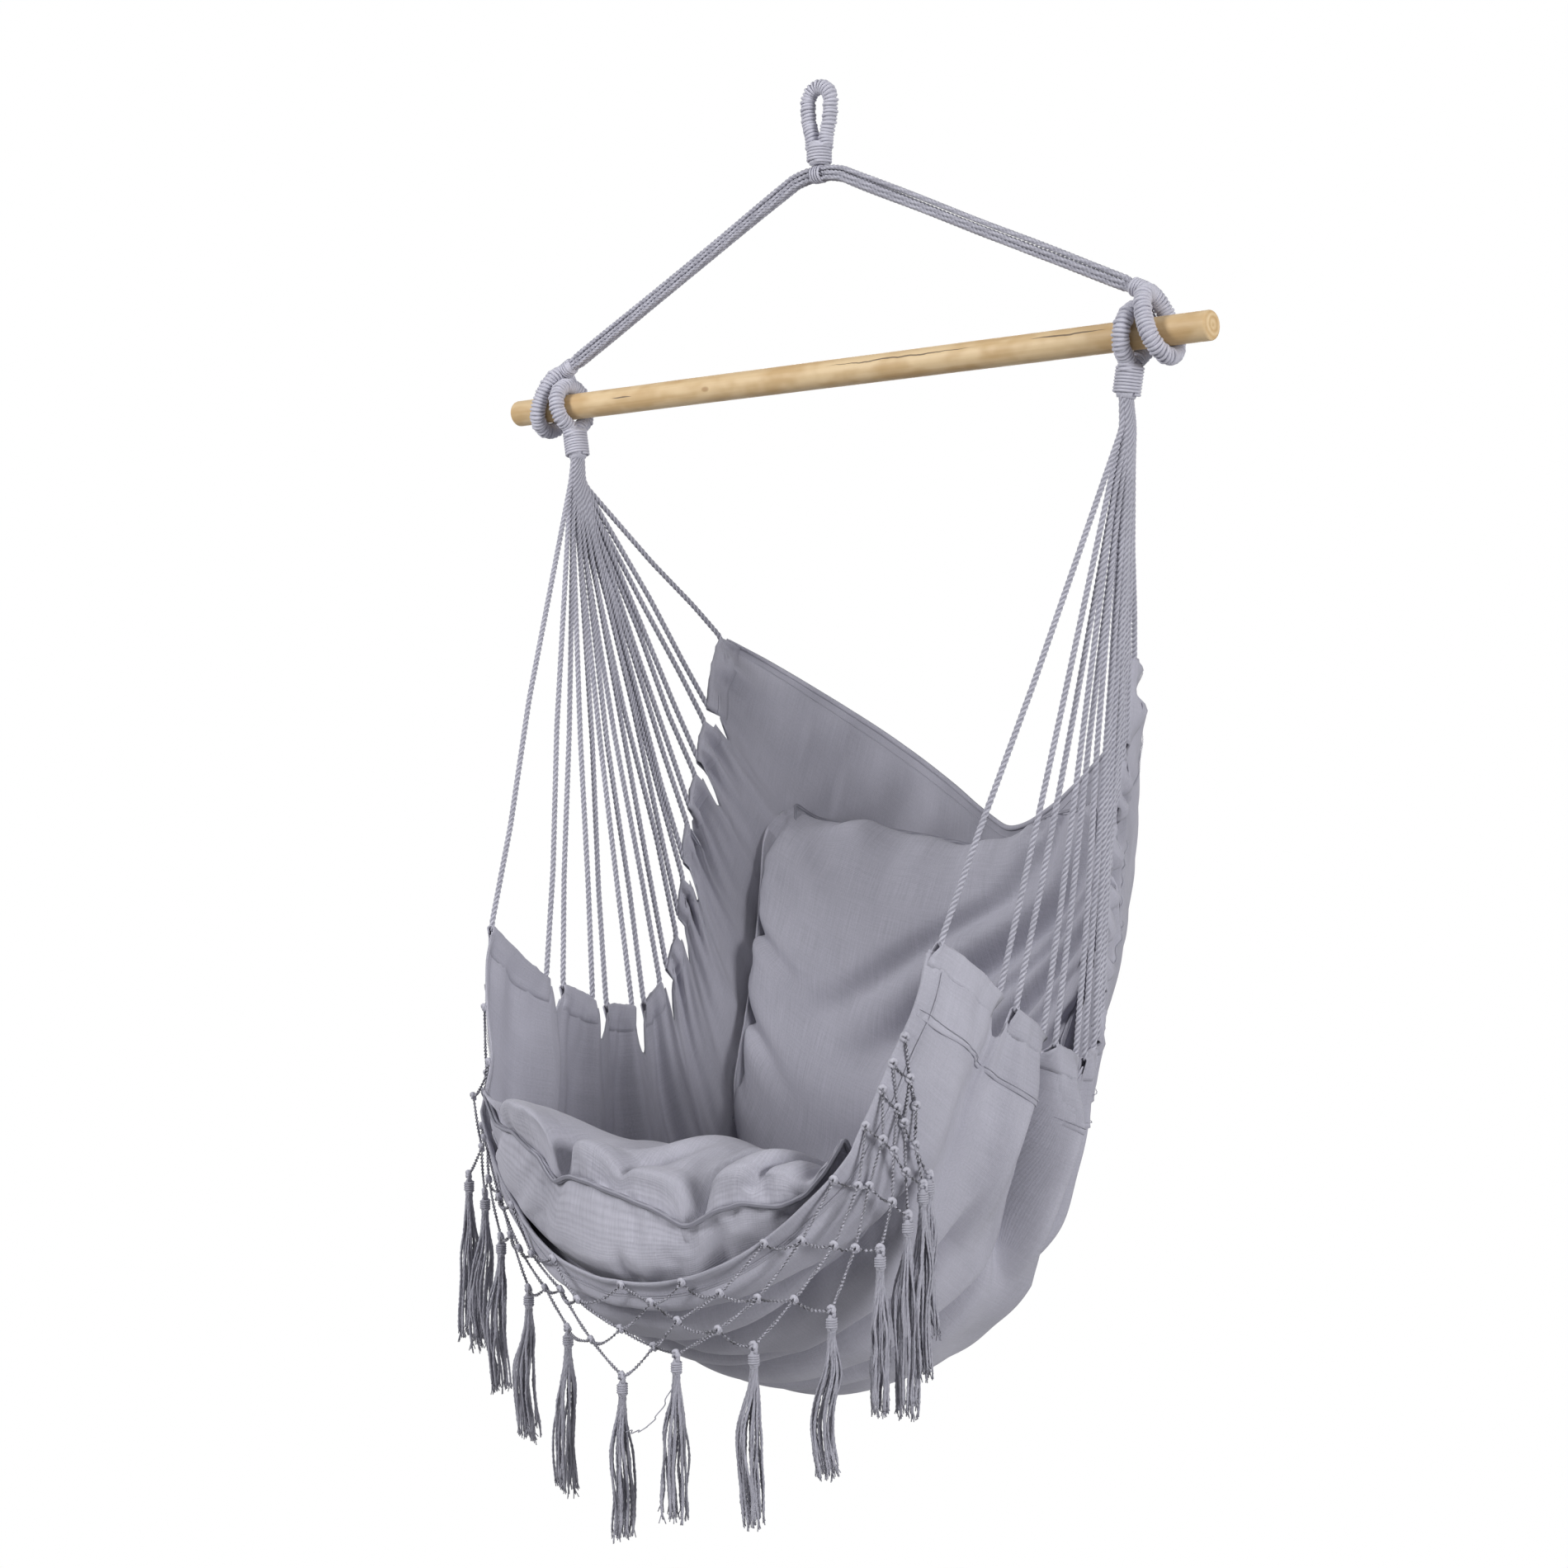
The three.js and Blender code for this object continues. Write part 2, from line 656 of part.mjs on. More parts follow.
// Harness cords: each is threaded through one tab's casing, with both its ends gathered in the neck.
function harnessCords(name, side, finish) {
  const tabs = tabPlaces();
  const plug = uprightCylinder(neckDiameter, harnessPlugTop + barDrop, harnessPlugBottom + barDrop, 0);
  const cords = [slanted(plug, side * harnessSlant).translate(harnessPlaceAt(side, -barDrop), 0, -barDrop)];
  tabs.forEach((places, i) => {
    const run = places.map((place) => crestPoint(place, side));
    const fromNeck = neckPlace(side, 2 * i, 2 * tabs.length);
    const toNeck = neckPlace(side, 2 * i + 1, 2 * tabs.length);
    cords.push(tubeThrough([fromNeck, ...run, toNeck], cordDiameter));
  });
  return piece(name, joined(cords), finish);
}

// A cushion laid on the cloth: its seam rises off the cloth, and the crown grows from the seam.
// One that is seated bridges the cloth's trough, with its side seams down on the cloth.
function cushion(name, shape, finish) {
  const [start, end] = shape.along;
  const [left, right] = shape.across;
  const stack = point(...shape.stack);
  const corner = (a, b, above) => {
    const far = (1 + a) / 2;
    const place = THREE.MathUtils.lerp(start, end, far) + shape.bow * far * (1 - b * b);
    const across = THREE.MathUtils.mapLinear(b, -1, 1, left, right) * (1 + shape.spread * far);
    const full = ((1 - Math.abs(a) ** crownPower) * (1 - Math.abs(b) ** crownPower)) ** crownRoundness;
    const bridge = (1 - a * a) * (1 - b * b) * shape.bridge;
    const pucker = 1 - puckerShare * (1 - full) * Math.cos(puckerCount * Math.PI * (a + b));
    const lifted = shape.rise * (shape.seated ? Math.abs(a) ** crownPower : 1 - full);
    const under = gap + clothClearance(place, across, stack) + shape.perch + bridge + lifted;
    const over = under + seamThickness + shape.thick * full * pucker;
    return slingPoint(place, across).addScaledVector(stack, above ? over : under);
  };
  const steps = cushionStepShares;
  const corners = [false, true].flatMap((above) => steps.flatMap((a) => steps.map((b) => corner(a, b, above))));
  return piece(name, surface(corners, pillowFaces(steps.length)), finish);
}

// Extra lift along the stacking direction that keeps the gap square to steep cloth.
function clothClearance(place, across, stack) {
  const facing = Math.max(slingFrame(place, across).inwards.dot(stack), 1 / crownPower);
  return gap / facing;
}

// The faces of two square layers of points that are closed round their rim.
function pillowFaces(width) {
  const layer = width * width;
  const faces = [];
  for (let i = 0; i < width - 1; i++) {
    for (let j = 0; j < width - 1; j++) {
      const a = i * width + j;
      faces.push([a, a + width, a + width + 1, a + 1]);
      faces.push([a + layer, a + layer + 1, a + layer + width + 1, a + layer + width]);
    }
  }
  const rim = [];
  for (let j = 0; j < width - 1; j++) rim.push(j);
  for (let i = 0; i < width - 1; i++) rim.push(i * width + width - 1);
  for (let j = width - 1; j > 0; j--) rim.push((width - 1) * width + j);
  for (let i = width - 1; i > 0; i--) rim.push(i * width);
  rim.forEach((a, i) => {
    const b = rim[(i + 1) % rim.length];
    faces.push([a, b, b + layer, a + layer]);
  });
  return faces;
}

// A column of the net: one for each row of the table and one midway between each two.
function netColumns() {
  const columns = [];
  netShares.forEach((row, i) => {
    if (i > 0) columns.push(row.map((share, k) => (share + netShares[i - 1][k]) / 2));
    columns.push(row);
  });
  return columns;
}

function netFoot([, width, reach, drop]) {
  return point(width * slingHalfWidth + barShift, reach * slingDepth, -barDrop - drop * slingDrop);
}

// Where a column is tied: on the outer corner of the cloth's front hem.
function netTie([across]) {
  return clothPoint(0, across, stripOuter);
}

// Directions of the net at a column: down it, along its rows to the left hand, and to the front.
function netFrame(columns, i) {
  const next = columns[Math.min(i + 1, columns.length - 1)];
  const before = columns[Math.max(i - 1, 0)];
  const down = netFoot(columns[i]).sub(netTie(columns[i])).normalize();
  const right = netFoot(next).add(netTie(next)).sub(netFoot(before)).sub(netTie(before)).normalize();
  return { down, right, front: down.clone().cross(right).normalize() };
}

// The net: a diamond knot where cords cross, and a cord between each two knots.
function fringeNet(finish) {
  const columns = netColumns();
  const corners = [];
  const faces = [];
  const knots = new Map();
  const key = (i, j) => i * (netRows + 1) + j;
  columns.forEach((column, i) => {
    const { down, right, front } = netFrame(columns, i);
    for (let j = i % 2; j <= netRows; j += 2) {
      const centre = netTie(column).lerp(netFoot(column), j / netRows);
      centre.addScaledVector(front, 2 * gap + netCord / 2);
      knots.set(key(i, j), corners.length);
      for (const layer of [1, -1]) {
        const middle = centre.clone().addScaledVector(front, (layer * netCord) / 2);
        corners.push(middle.clone().addScaledVector(down, -netKnot));
        corners.push(middle.clone().addScaledVector(right, netKnot));
        corners.push(middle.clone().addScaledVector(down, netKnot));
        corners.push(middle.clone().addScaledVector(right, -netKnot));
      }
    }
  });
  const wall = (a, b) => faces.push([a, b, b + 4, a + 4]);
  knots.forEach((k, spot) => {
    faces.push([k, k + 3, k + 2, k + 1], [k + 4, k + 5, k + 6, k + 7]);
    const i = Math.floor(spot / (netRows + 1));
    const j = spot % (netRows + 1);
    const lowerRight = j < netRows ? knots.get(key(i + 1, j + 1)) : undefined;
    const lowerLeft = i > 0 && j < netRows ? knots.get(key(i - 1, j + 1)) : undefined;
    const upperRight = j > 0 ? knots.get(key(i + 1, j - 1)) : undefined;
    const upperLeft = i > 0 && j > 0 ? knots.get(key(i - 1, j - 1)) : undefined;
    if (lowerRight === undefined) wall(k + 1, k + 2);
    else cordBetween(faces, [k + 1, k + 2], [lowerRight, lowerRight + 3]);
    if (lowerLeft === undefined) wall(k + 2, k + 3);
    else cordBetween(faces, [k + 2, k + 3], [lowerLeft + 1, lowerLeft]);
    if (upperRight === undefined) wall(k, k + 1);
    if (upperLeft === undefined) wall(k + 3, k);
  });
  return piece("fringe_net", surface(corners, faces), finish);
}

// The four walls of a cord of the net, between one side of a knot and one side of the next.
function cordBetween(faces, [a, b], [c, d]) {
  faces.push([a, b, d, c]);
  faces.push([a + 4, c + 4, d + 4, b + 4]);
  faces.push([a, c, c + 4, a + 4]);
  faces.push([b, b + 4, d + 4, d]);
}

// A tassel's width: full, or what its nearest neighbour leaves it.
function tasselRoom(i) {
  const foot = netFoot(netShares[i]);
  const others = netShares.filter((_, k) => k !== i).map((row) => netFoot(row).setZ(foot.z));
  return Math.min(tasselWidth, ...others.map((other) => other.distanceTo(foot) - 2 * gap));
}

// A tassel: a bound head and a skirt of thread that widens to its cut end.
function tassel(name, i, finish) {
  const columns = netColumns();
  const front = netFrame(columns, 2 * i).front;
  const top = netFoot(netShares[i]).addScaledVector(front, 2 * gap + netCord / 2);
  const length = tasselLength * netShares[i][4];
  const head = Math.min(tasselHeadWidth, tasselRoom(i)) / 2;
  const skirt = tasselRoom(i) / 2;
  const profile = [
    [0, 0],
    [head / 2, 0],
    [head, -tasselHead / 2],
    [0.7 * head, -tasselHead],
    [0.7 * skirt, -2 * tasselHead],
    [0.75 * skirt, -0.6 * length],
    [skirt, -length],
    [0, -length],
  ];
  const outline = profile.map(([radius, height]) => new THREE.Vector2(radius, height)).reverse();
  const geometry = new THREE.LatheGeometry(outline, ropeSides);
  geometry.rotateX(Math.PI / 2);
  return piece(name, geometry.translate(top.x, top.y, top.z - netKnot - gap), finish);
}

const ropeFinish = material(0xa6a6b2, 0.9);
const woodFinish = material(0xd9b47c, 0.6);
const canvasFinish = material(0x8f909c, 0.95);
const cushionFinish = material(0x9a9ba7, 0.95);
const fringeFinish = material(0x9c9ca8, 0.9);

const seatShape = {
  along: seatAlongShares,
  across: seatAcrossShares,
  stack: seatStackShares,
  seated: true,
  bow: 0,
  spread: 0,
  rise: seatSeamRise,
  perch: seatPerch,
  bridge: seatBridge,
  thick: seatThickness,
};
const backShape = {
  along: backAlongShares,
  across: backAcrossShares,
  stack: backStackShares,
  seated: false,
  bow: backBowShare,
  spread: backSpreadShare,
  rise: backSeamRise,
  perch: backPerch,
  bridge: 0,
  thick: backThickness,
};

const chair = new THREE.Group();
chair.add(
  hangingLoop(ropeFinish),
  loopServing(ropeFinish),
  whipping(
    "loop_whipping",
    () => 0,
    loopNeckTop - whippingMargin,
    loopNeckBottom + whippingMargin,
    ropeFinish,
  ),
  ropeCrotch(ropeFinish),
  spreaderBar(woodFinish),
  slingCanvas(canvasFinish),
  hem("front_hem", alongLines().slice(0, 2), canvasFinish),
  hem("top_hem", alongLines().slice(-2), canvasFinish),
  cushion("seat_cushion", seatShape, cushionFinish),
  cushion("back_cushion", backShape, cushionFinish),
  fringeNet(fringeFinish),
);
for (const [hand, side] of [
  ["left", -1],
  ["right", 1],
]) {
  chair.add(
    suspensionRope("suspension_rope_" + hand, side, ropeFinish),
    suspensionEye("suspension_eye_" + hand, side, ropeFinish),
    harnessEye("harness_eye_" + hand, side, ropeFinish),
    whipping(
      "harness_whipping_" + hand,
      (height) => harnessPlaceAt(side, height),
      harnessPlugTop - whippingMargin,
      harnessPlugBottom + 4 * whippingMargin,
      ropeFinish,
    ),
    harnessCords("harness_cords_" + hand, side, ropeFinish),
    sideCasing("side_casing_" + hand, side, canvasFinish),
  );
}
netShares.forEach((_, i) => {
  chair.add(tassel("tassel_" + String(i + 1).padStart(2, "0"), i, fringeFinish));
});

export default chair;
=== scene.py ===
# %% [markdown]
# # A hammock chair
# This lesson dresses a hanging hammock chair. Its solid model comes from a CAD step and is only a
# frame here: it says where each piece is. Every visible piece is then made again in Blender as
# what it is on the real chair, such as twisted cord, wound yarn, gathered canvas or a stuffed cover.
# %% Load the frame
import math

import bmesh
import bpy
import numpy as np
from mathutils import Matrix, Vector
from mathutils.bvhtree import BVHTree


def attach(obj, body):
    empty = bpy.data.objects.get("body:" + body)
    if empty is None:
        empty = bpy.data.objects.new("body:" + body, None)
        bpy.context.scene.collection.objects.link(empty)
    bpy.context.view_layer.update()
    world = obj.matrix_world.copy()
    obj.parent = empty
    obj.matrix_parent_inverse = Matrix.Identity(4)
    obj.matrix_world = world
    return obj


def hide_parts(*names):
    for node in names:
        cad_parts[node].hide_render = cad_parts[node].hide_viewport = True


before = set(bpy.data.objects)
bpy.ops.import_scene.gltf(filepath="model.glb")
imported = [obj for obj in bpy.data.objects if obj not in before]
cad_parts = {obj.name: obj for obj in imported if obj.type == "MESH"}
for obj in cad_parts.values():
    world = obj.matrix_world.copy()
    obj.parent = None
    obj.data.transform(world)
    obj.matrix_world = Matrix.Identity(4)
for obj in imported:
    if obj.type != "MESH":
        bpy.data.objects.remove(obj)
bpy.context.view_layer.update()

# %% [markdown]
# ## Camera
# The photograph was taken level with the back of the seat and from its left front, three metres
# away. A camera that was fitted to the ends of the bar gives its place and its lens.
# %% Camera
PHOTO_SIDE = 1900
FOCAL_PIXELS = 3300
SENSOR = 36
CAMERA_PLACE = (1.942, -2.3361, -0.7746)
CAMERA_AZIMUTH = math.radians(40.479)
CAMERA_PITCH = math.radians(0.107)

lens = bpy.data.cameras.new("photo_camera")
lens.sensor_width = SENSOR
lens.lens = FOCAL_PIXELS / PHOTO_SIDE * SENSOR
camera = bpy.data.objects.new("photo_camera", lens)
camera.location = CAMERA_PLACE
camera.rotation_euler = (math.pi / 2 + CAMERA_PITCH, 0, CAMERA_AZIMUTH)
bpy.context.scene.collection.objects.link(camera)
bpy.context.scene.camera = camera
print("lens", round(lens.lens, 2), "mm")

# %% [markdown]
# ## Sizes
# The numbers that shape the cloth are the CAD model's own, in metres. The sling is one smooth
# sheet: a table gives its two edges and its middle line from the front hem to the top hem.
# %% Sizes shared by the pieces
BAR_PLACE = 0.014
BAR_DROP = 0.313
BAR_LENGTH = 0.990
BAR_DIAMETER = 0.031
EYE_ROPE = 0.019
EYE_BEND = 0.02570
HARNESS_EYE = 0.40293
HARNESS_SLANT = 0.17
SUSPENSION_EYE = 0.434115
SUSPENSION_SLANT = 0.36
SUSPENSION_LIFT = 0.016
SLING_HALF_WIDTH = 0.312
SLING_DEPTH = 0.360
SLING_DROP = 1.120
CLOTH_WIDTH = 1.11
CLOTH_LENGTH = 1.19
NOTCHES = [0.12, 0.21, 0.3, 0.39, 0.48, 0.57, 0.66, 0.75, 0.85]
MARKS = np.array([0, *NOTCHES, 1])
LEFT_EDGE = np.array([
    [0, 1, -0.617, 0.555], [0.07, 1.026, -0.431, 0.6], [0.15, 1.032, -0.228, 0.629],
    [0.24, 1.019, -0.042, 0.65], [0.33, 1, 0.125, 0.645], [0.43, 0.981, 0.228, 0.596],
    [0.53, 0.968, 0.267, 0.529], [0.64, 0.962, 0.289, 0.457], [0.76, 0.958, 0.339, 0.3875],
    [0.88, 0.955, 0.394, 0.318], [1, 0.952, 0.45, 0.248],
])
RIGHT_EDGE = np.array([
    [0, 1, -0.597, 0.552], [0.07, 1.019, -0.431, 0.585], [0.15, 1.026, -0.236, 0.625],
    [0.24, 1.019, -0.042, 0.659], [0.33, 1, 0.125, 0.671], [0.43, 0.974, 0.222, 0.645],
    [0.53, 0.955, 0.264, 0.58], [0.64, 0.949, 0.3, 0.509], [0.76, 0.965, 0.333, 0.434],
    [0.88, 0.985, 0.367, 0.361], [1, 0.995, 0.383, 0.2875],
])
MIDDLE = np.array([
    [0, 0, -0.917, 0.86], [0.07, 0.05, -0.744, 0.904], [0.15, 0.12, -0.494, 0.948],
    [0.24, 0.2, -0.194, 0.987], [0.33, 0.3, 0.083, 1], [0.43, 0.42, 0.285, 0.97],
    [0.53, 0.48, 0.475, 0.902], [0.64, 0.48, 0.68, 0.808], [0.76, 0.38, 0.86, 0.699],
    [0.88, 0.4, 0.965, 0.579], [1, 1, 0.978, 0.4536],
])
print("tabs on each side:", len(NOTCHES) + 1)

# %% [markdown]
# ## The cloth's surface
# Every later piece that touches the cloth asks these functions where the cloth is. They take whole
# arrays of places at once, because a sheet with creases needs many thousand points.
# %% The sling's smooth surface
def smooth(x, low, high):
    t = np.clip((x - low) / (high - low), 0, 1)
    return t * t * (3 - 2 * t)


def curve(a, b, c, d, t):
    """The smooth line from b to c, which comes from a and goes on to d, at shares t."""
    bend = (2 * a - 5 * b + 4 * c - d) * t**2
    twist = (3 * b - a - 3 * c + d) * t**3
    return b + ((c - a) * t + bend + twist) / 2


def row_at(table, place):
    """The smooth line through a table's rows, at places along the cloth."""
    last = len(table) - 1
    high = np.clip(np.searchsorted(table[:, 0], place), 1, last)
    before, low, after = np.maximum(high - 2, 0), high - 1, np.minimum(high + 1, last)
    a, b, c, d = (table[i][..., 1:] for i in (before, low, high, after))
    t = ((place - table[low, 0]) / (table[high, 0] - table[low, 0]))[..., None]
    return curve(a, b, c, d, t)


CREASE = 0.08
FLARE_START = 0.82


def sling_point(place, across):
    """Points of the sling's inner face. Place runs from the front hem, 0, to the top hem, 1, and
    across from the left side of the picture, -1, to the right, 1."""
    place, across = np.broadcast_arrays(np.asarray(place, float), np.asarray(across, float))
    edge = np.where((across < 0)[..., None], row_at(LEFT_EDGE, place), row_at(RIGHT_EDGE, place))
    middle = row_at(MIDDLE, place)
    flat = middle[..., 0]
    round_share = 1 - flat
    size = (np.hypot(across, CREASE) - CREASE) / (math.hypot(1, CREASE) - CREASE)
    peak = 1 + smooth(1 - place, 0, 1 - FLARE_START)
    width = edge[..., 0] * (round_share * np.sin(np.pi / 2 * across) + flat * across)
    bow = round_share * np.cos(np.pi / 2 * across)
    deep = bow + flat * (1 - across**2)
    low = bow + flat * (1 - size**peak)
    return np.stack([
        SLING_HALF_WIDTH * width + BAR_PLACE,
        SLING_DEPTH * (edge[..., 1] + (middle[..., 1] - edge[..., 1]) * deep),
        -BAR_DROP - SLING_DROP * (edge[..., 2] + (middle[..., 2] - edge[..., 2]) * low),
    ], axis=-1)


def unit(v):
    return v / np.maximum(np.linalg.norm(v, axis=-1, keepdims=True), 1e-12)


def distances(line):
    """How far along a line each of its points lies."""
    return np.concatenate([[0], np.cumsum(np.linalg.norm(np.diff(line, axis=0), axis=1))])


def straight_length(line):
    return float(np.linalg.norm(np.diff(np.asarray(line), axis=0), axis=1).sum())


STEP = 0.003


def sling_frame(place, across):
    """Directions on the cloth: along it to the back, across it, and off its inner face."""
    def at(p, a):
        return sling_point(np.clip(p, 0, 1), np.clip(a, -1, 1))
    back = unit(at(place + STEP, across) - at(place - STEP, across))
    outwards = unit(at(place, across + STEP) - at(place, across - STEP))
    return back, outwards, unit(np.cross(outwards, back))


probe = sling_point(np.linspace(0, 1, 200), 0.0)
print("middle line", round(straight_length(probe), 3), "m long")

# %% [markdown]
# ## Shader maths
# Node trees are easier to read as sums. This small class holds one output of a node, and adding or
# multiplying two of them adds the Math node that does it. Any other node comes from `node`.
# %% Wires between shader nodes
class Wire:
    def __init__(self, tree, socket=None):
        self.tree, self.socket = tree, socket

    def node(self, kind, settings=(), inputs=(), out=0):
        made = self.tree.nodes.new(kind)
        for key, value in dict(settings).items():
            if key == "stops":
                ramp = made.color_ramp
                while len(ramp.elements) < len(value):
                    ramp.elements.new(0.5)
                for element, (place, shade) in zip(ramp.elements, value):
                    element.position, element.color = place, (shade, shade, shade, 1)
            else:
                setattr(made, key, value)
        for key, value in dict(inputs).items():
            if isinstance(value, Wire):
                self.tree.links.new(value.socket, made.inputs[key])
            else:
                made.inputs[key].default_value = value
        return Wire(self.tree, made.outputs[out])

    def beside(self, *names):
        """Other outputs of the node that this wire comes from."""
        return [Wire(self.tree, self.socket.node.outputs[name]) for name in names]

    def math(self, operation, *others):
        values = dict(enumerate([self, *others]))
        return self.node("ShaderNodeMath", {"operation": operation}, values)

    def __add__(self, other):
        return self.math("ADD", other)

    def __mul__(self, other):
        return self.math("MULTIPLY", other)

    def __sub__(self, other):
        return self.math("SUBTRACT", other)

    def __rsub__(self, other):
        return self * -1 + other

    __radd__, __rmul__ = __add__, __mul__


def noise(base, vector, scale, detail=2.0, roughness=0.5):
    """Soft cloudy values about 0.5."""
    values = {"Vector": vector, "Scale": scale, "Detail": detail, "Roughness": roughness}
    return base.node("ShaderNodeTexNoise", {}, values)


def stretched(base, vector, scale):
    """A place with each of its axes scaled, so that a pattern is drawn out along one of them."""
    return base.node("ShaderNodeMapping", {}, {"Vector": vector, "Scale": scale})


def ranged(base, value, low, high):
    """A value spread out, so that low becomes 0 and high becomes 1."""
    return base.node("ShaderNodeMapRange", {}, {
        "Value": value, "From Min": low, "From Max": high})


MIX_SHARE, MIX_FIRST, MIX_SECOND, MIX_RESULT = 0, 6, 7, 2


def tinted(base, share, dark, light):
    """A colour between two, by a share. Each may be a plain colour or another node's."""
    first, second = (c if isinstance(c, Wire) else (*c, 1) for c in (dark, light))
    return base.node("ShaderNodeMix", {"data_type": "RGBA"}, {
        MIX_SHARE: share, MIX_FIRST: first, MIX_SECOND: second}, out=MIX_RESULT)


def bumped(base, height, distance, strength=1.0):
    values = {"Height": height, "Distance": distance, "Strength": strength}
    return base.node("ShaderNodeBump", {}, values)


def new_material(name, roughness, sheen=0.0):
    """A material and the start of its node sums."""
    made = bpy.data.materials.new(name)
    made.use_nodes = True
    shader = made.node_tree.nodes["Principled BSDF"]
    shader.inputs["Roughness"].default_value = roughness
    shader.inputs["Specular IOR Level"].default_value = 0.3
    shader.inputs["Sheen Weight"].default_value = sheen
    shader.inputs["Sheen Roughness"].default_value = 0.5
    return made, shader, Wire(made.node_tree)


def feed(shader, **links):
    for name, wire in links.items():
        shader.id_data.links.new(wire.socket, shader.inputs[name.replace("_", " ")])


print("shader helpers ready")

# %% [markdown]
# ## Cotton finishes
# All the cloth and cord is undyed-looking cotton in one lavender grey. Canvas shows crossed threads
# with thicker and thinner yarns, which run with the cloth. So each sheet carries an attribute
# called weave: the place on the flat cloth, in metres. Cord carries one called lay: the place on
# the straightened cord. Fibres then follow each strand round the cord, and the hollows between the
# strands are painted darker: painted shade, with the dust that they hold.
# %% Canvas, cushion cover and cord materials
THREAD = 0.0011
BANDS_IN_WAVE = 3.1
RUN = 0.03


def threads_across(base, weave, axis):
    """Parallel threads as soft bands, counted along an axis."""
    return base.node("ShaderNodeTexWave", {"wave_type": "BANDS", "bands_direction": axis}, {
        "Vector": weave, "Scale": 1 / THREAD / BANDS_IN_WAVE, "Distortion": 0.8,
        "Detail Scale": 1.5}, out="Fac")


def canvas_material(name, dark, light, slub, ridge):
    """Plain weave: fine crossed threads, slubs along both ways, and soft wear."""
    made, shader, base = new_material(name, 0.92, sheen=0.12)
    weave = base.node("ShaderNodeAttribute", {"attribute_name": "weave"}, out="Vector")
    warp = stretched(base, weave, (1 / THREAD, RUN / THREAD, 1))
    weft = stretched(base, weave, (RUN / THREAD, 1 / THREAD, 1))
    slubs = noise(base, warp, 0.75, 2.0) * 0.65 + noise(base, weft, 0.6, 2.0) * 0.35
    cloud = noise(base, weave, 7.0, 3.0)
    specks = noise(base, weave, 520.0, 1.0)
    shade = slubs * slub + cloud * (0.8 - slub) + specks * 0.2
    colour = tinted(base, ranged(base, shade, 0.32, 0.68), dark, light)
    crossed = threads_across(base, weave, "X") * threads_across(base, weave, "Y")
    creased = noise(base, weave, 60.0, 3.0) * 0.9
    rumpled = noise(base, weave, 24.0, 2.0) * 2.4
    height = crossed * ridge + slubs * 0.6 + creased + rumpled
    feed(shader, Base_Color=colour, Normal=bumped(base, height, 0.0006, 0.8))
    return made


def cord_material(name, dark, light, fineness=1.0):
    """Spun cotton: hairline fibres that run with each strand, over a slow change of shade, and
    painted shade in the hollows between the strands.
    """
    made, shader, base = new_material(name, 0.9, sheen=0.15)
    lay = base.node("ShaderNodeAttribute", {"attribute_name": "lay"}, out="Vector")
    hollow = base.node("ShaderNodeAttribute", {"attribute_name": "hollow"}, out="Fac")
    fibres = noise(base, stretched(base, lay, (1, 1, 0.12)), 1500.0 * fineness, 2.0)
    slow = noise(base, lay, 14.0, 2.0)
    # hollow darkens the colour in the grooves between strands: painted shade, with some dust
    shade = fibres * 0.5 + slow * 0.3 - hollow * 1.1
    feed(shader, Base_Color=tinted(base, ranged(base, shade, 0.08, 0.48), dark, light),
         Normal=bumped(base, fibres, 0.0003, 0.7))
    return made


canvas = canvas_material("canvas", (0.320, 0.317, 0.372), (0.490, 0.485, 0.560), 0.30, 0.35)
cover = canvas_material("cushion_cover", (0.330, 0.327, 0.384), (0.510, 0.504, 0.580), 0.50, 0.5)
rope = cord_material("rope_cotton", (0.285, 0.283, 0.333), (0.560, 0.556, 0.636))
fringe = cord_material("fringe_cotton", (0.290, 0.288, 0.340), (0.430, 0.427, 0.490), 1.2)
thread = cord_material("sewing_thread", (0.300, 0.298, 0.352), (0.430, 0.427, 0.492), 2.0)
print("materials:", [m.name for m in (canvas, cover, rope, fringe, thread)])

# %% [markdown]
# ## Twisted cord
# A cord is three strands laid round each other. Seen from outside that is one tube with three
# lobes that wind along it, so a grid is rolled round the cord's path: its rows are rings, and each
# ring is turned a little more than the last. The lobes' own points follow the strands.
# %% Tubes along a path
LOBE_SHARE = 0.53


def resampled(points, step):
    """The same line with even steps."""
    points = np.asarray(points, float)
    far = distances(points)
    count = max(2, int(math.ceil(far[-1] / step)) + 1)
    even = np.linspace(0, far[-1], count)
    return np.stack([np.interp(even, far, points[:, k]) for k in range(3)], axis=1), even


def rounded(points, reach, step=0.002):
    """A line whose corners are drawn to smooth bends, each spread over the reach."""
    line, _ = resampled(points, step)
    half = max(1, int(reach / step / 2))
    kernel = np.hanning(2 * half + 3)[1:-1]
    kernel /= kernel.sum()
    padded = np.concatenate([
        2 * line[0] - line[half:0:-1], line, 2 * line[-1] - line[-2:-half - 2:-1]])
    return np.stack([np.convolve(padded[:, k], kernel, "valid") for k in range(3)], axis=1)


def smoothed_line(rows, step):
    """A smooth line through a few points, as even steps."""
    rows = np.asarray(rows, float)
    ends = np.vstack([2 * rows[0] - rows[1], rows, 2 * rows[-1] - rows[-2]])
    pieces = []
    for a, b, c, d in zip(ends, ends[1:], ends[2:], ends[3:]):
        pieces.append(curve(a, b, c, d, np.linspace(0, 1, 13)[:-1, None]))
    return resampled(np.vstack([*pieces, rows[-1:]]), step)[0]


def ring_frames(line):
    """Two directions square to the line at each of its points, carried along without twist."""
    ahead = unit(np.gradient(line, axis=0))
    start = np.array([0, 0, 1.0]) if abs(ahead[0, 2]) < 0.9 else np.array([0, 1.0, 0])
    side = np.empty_like(ahead)
    current = start
    for i, way in enumerate(ahead):
        current = current - way * np.dot(current, way)
        current = current / np.linalg.norm(current)
        side[i] = current
    return ahead, side, np.cross(ahead, side)


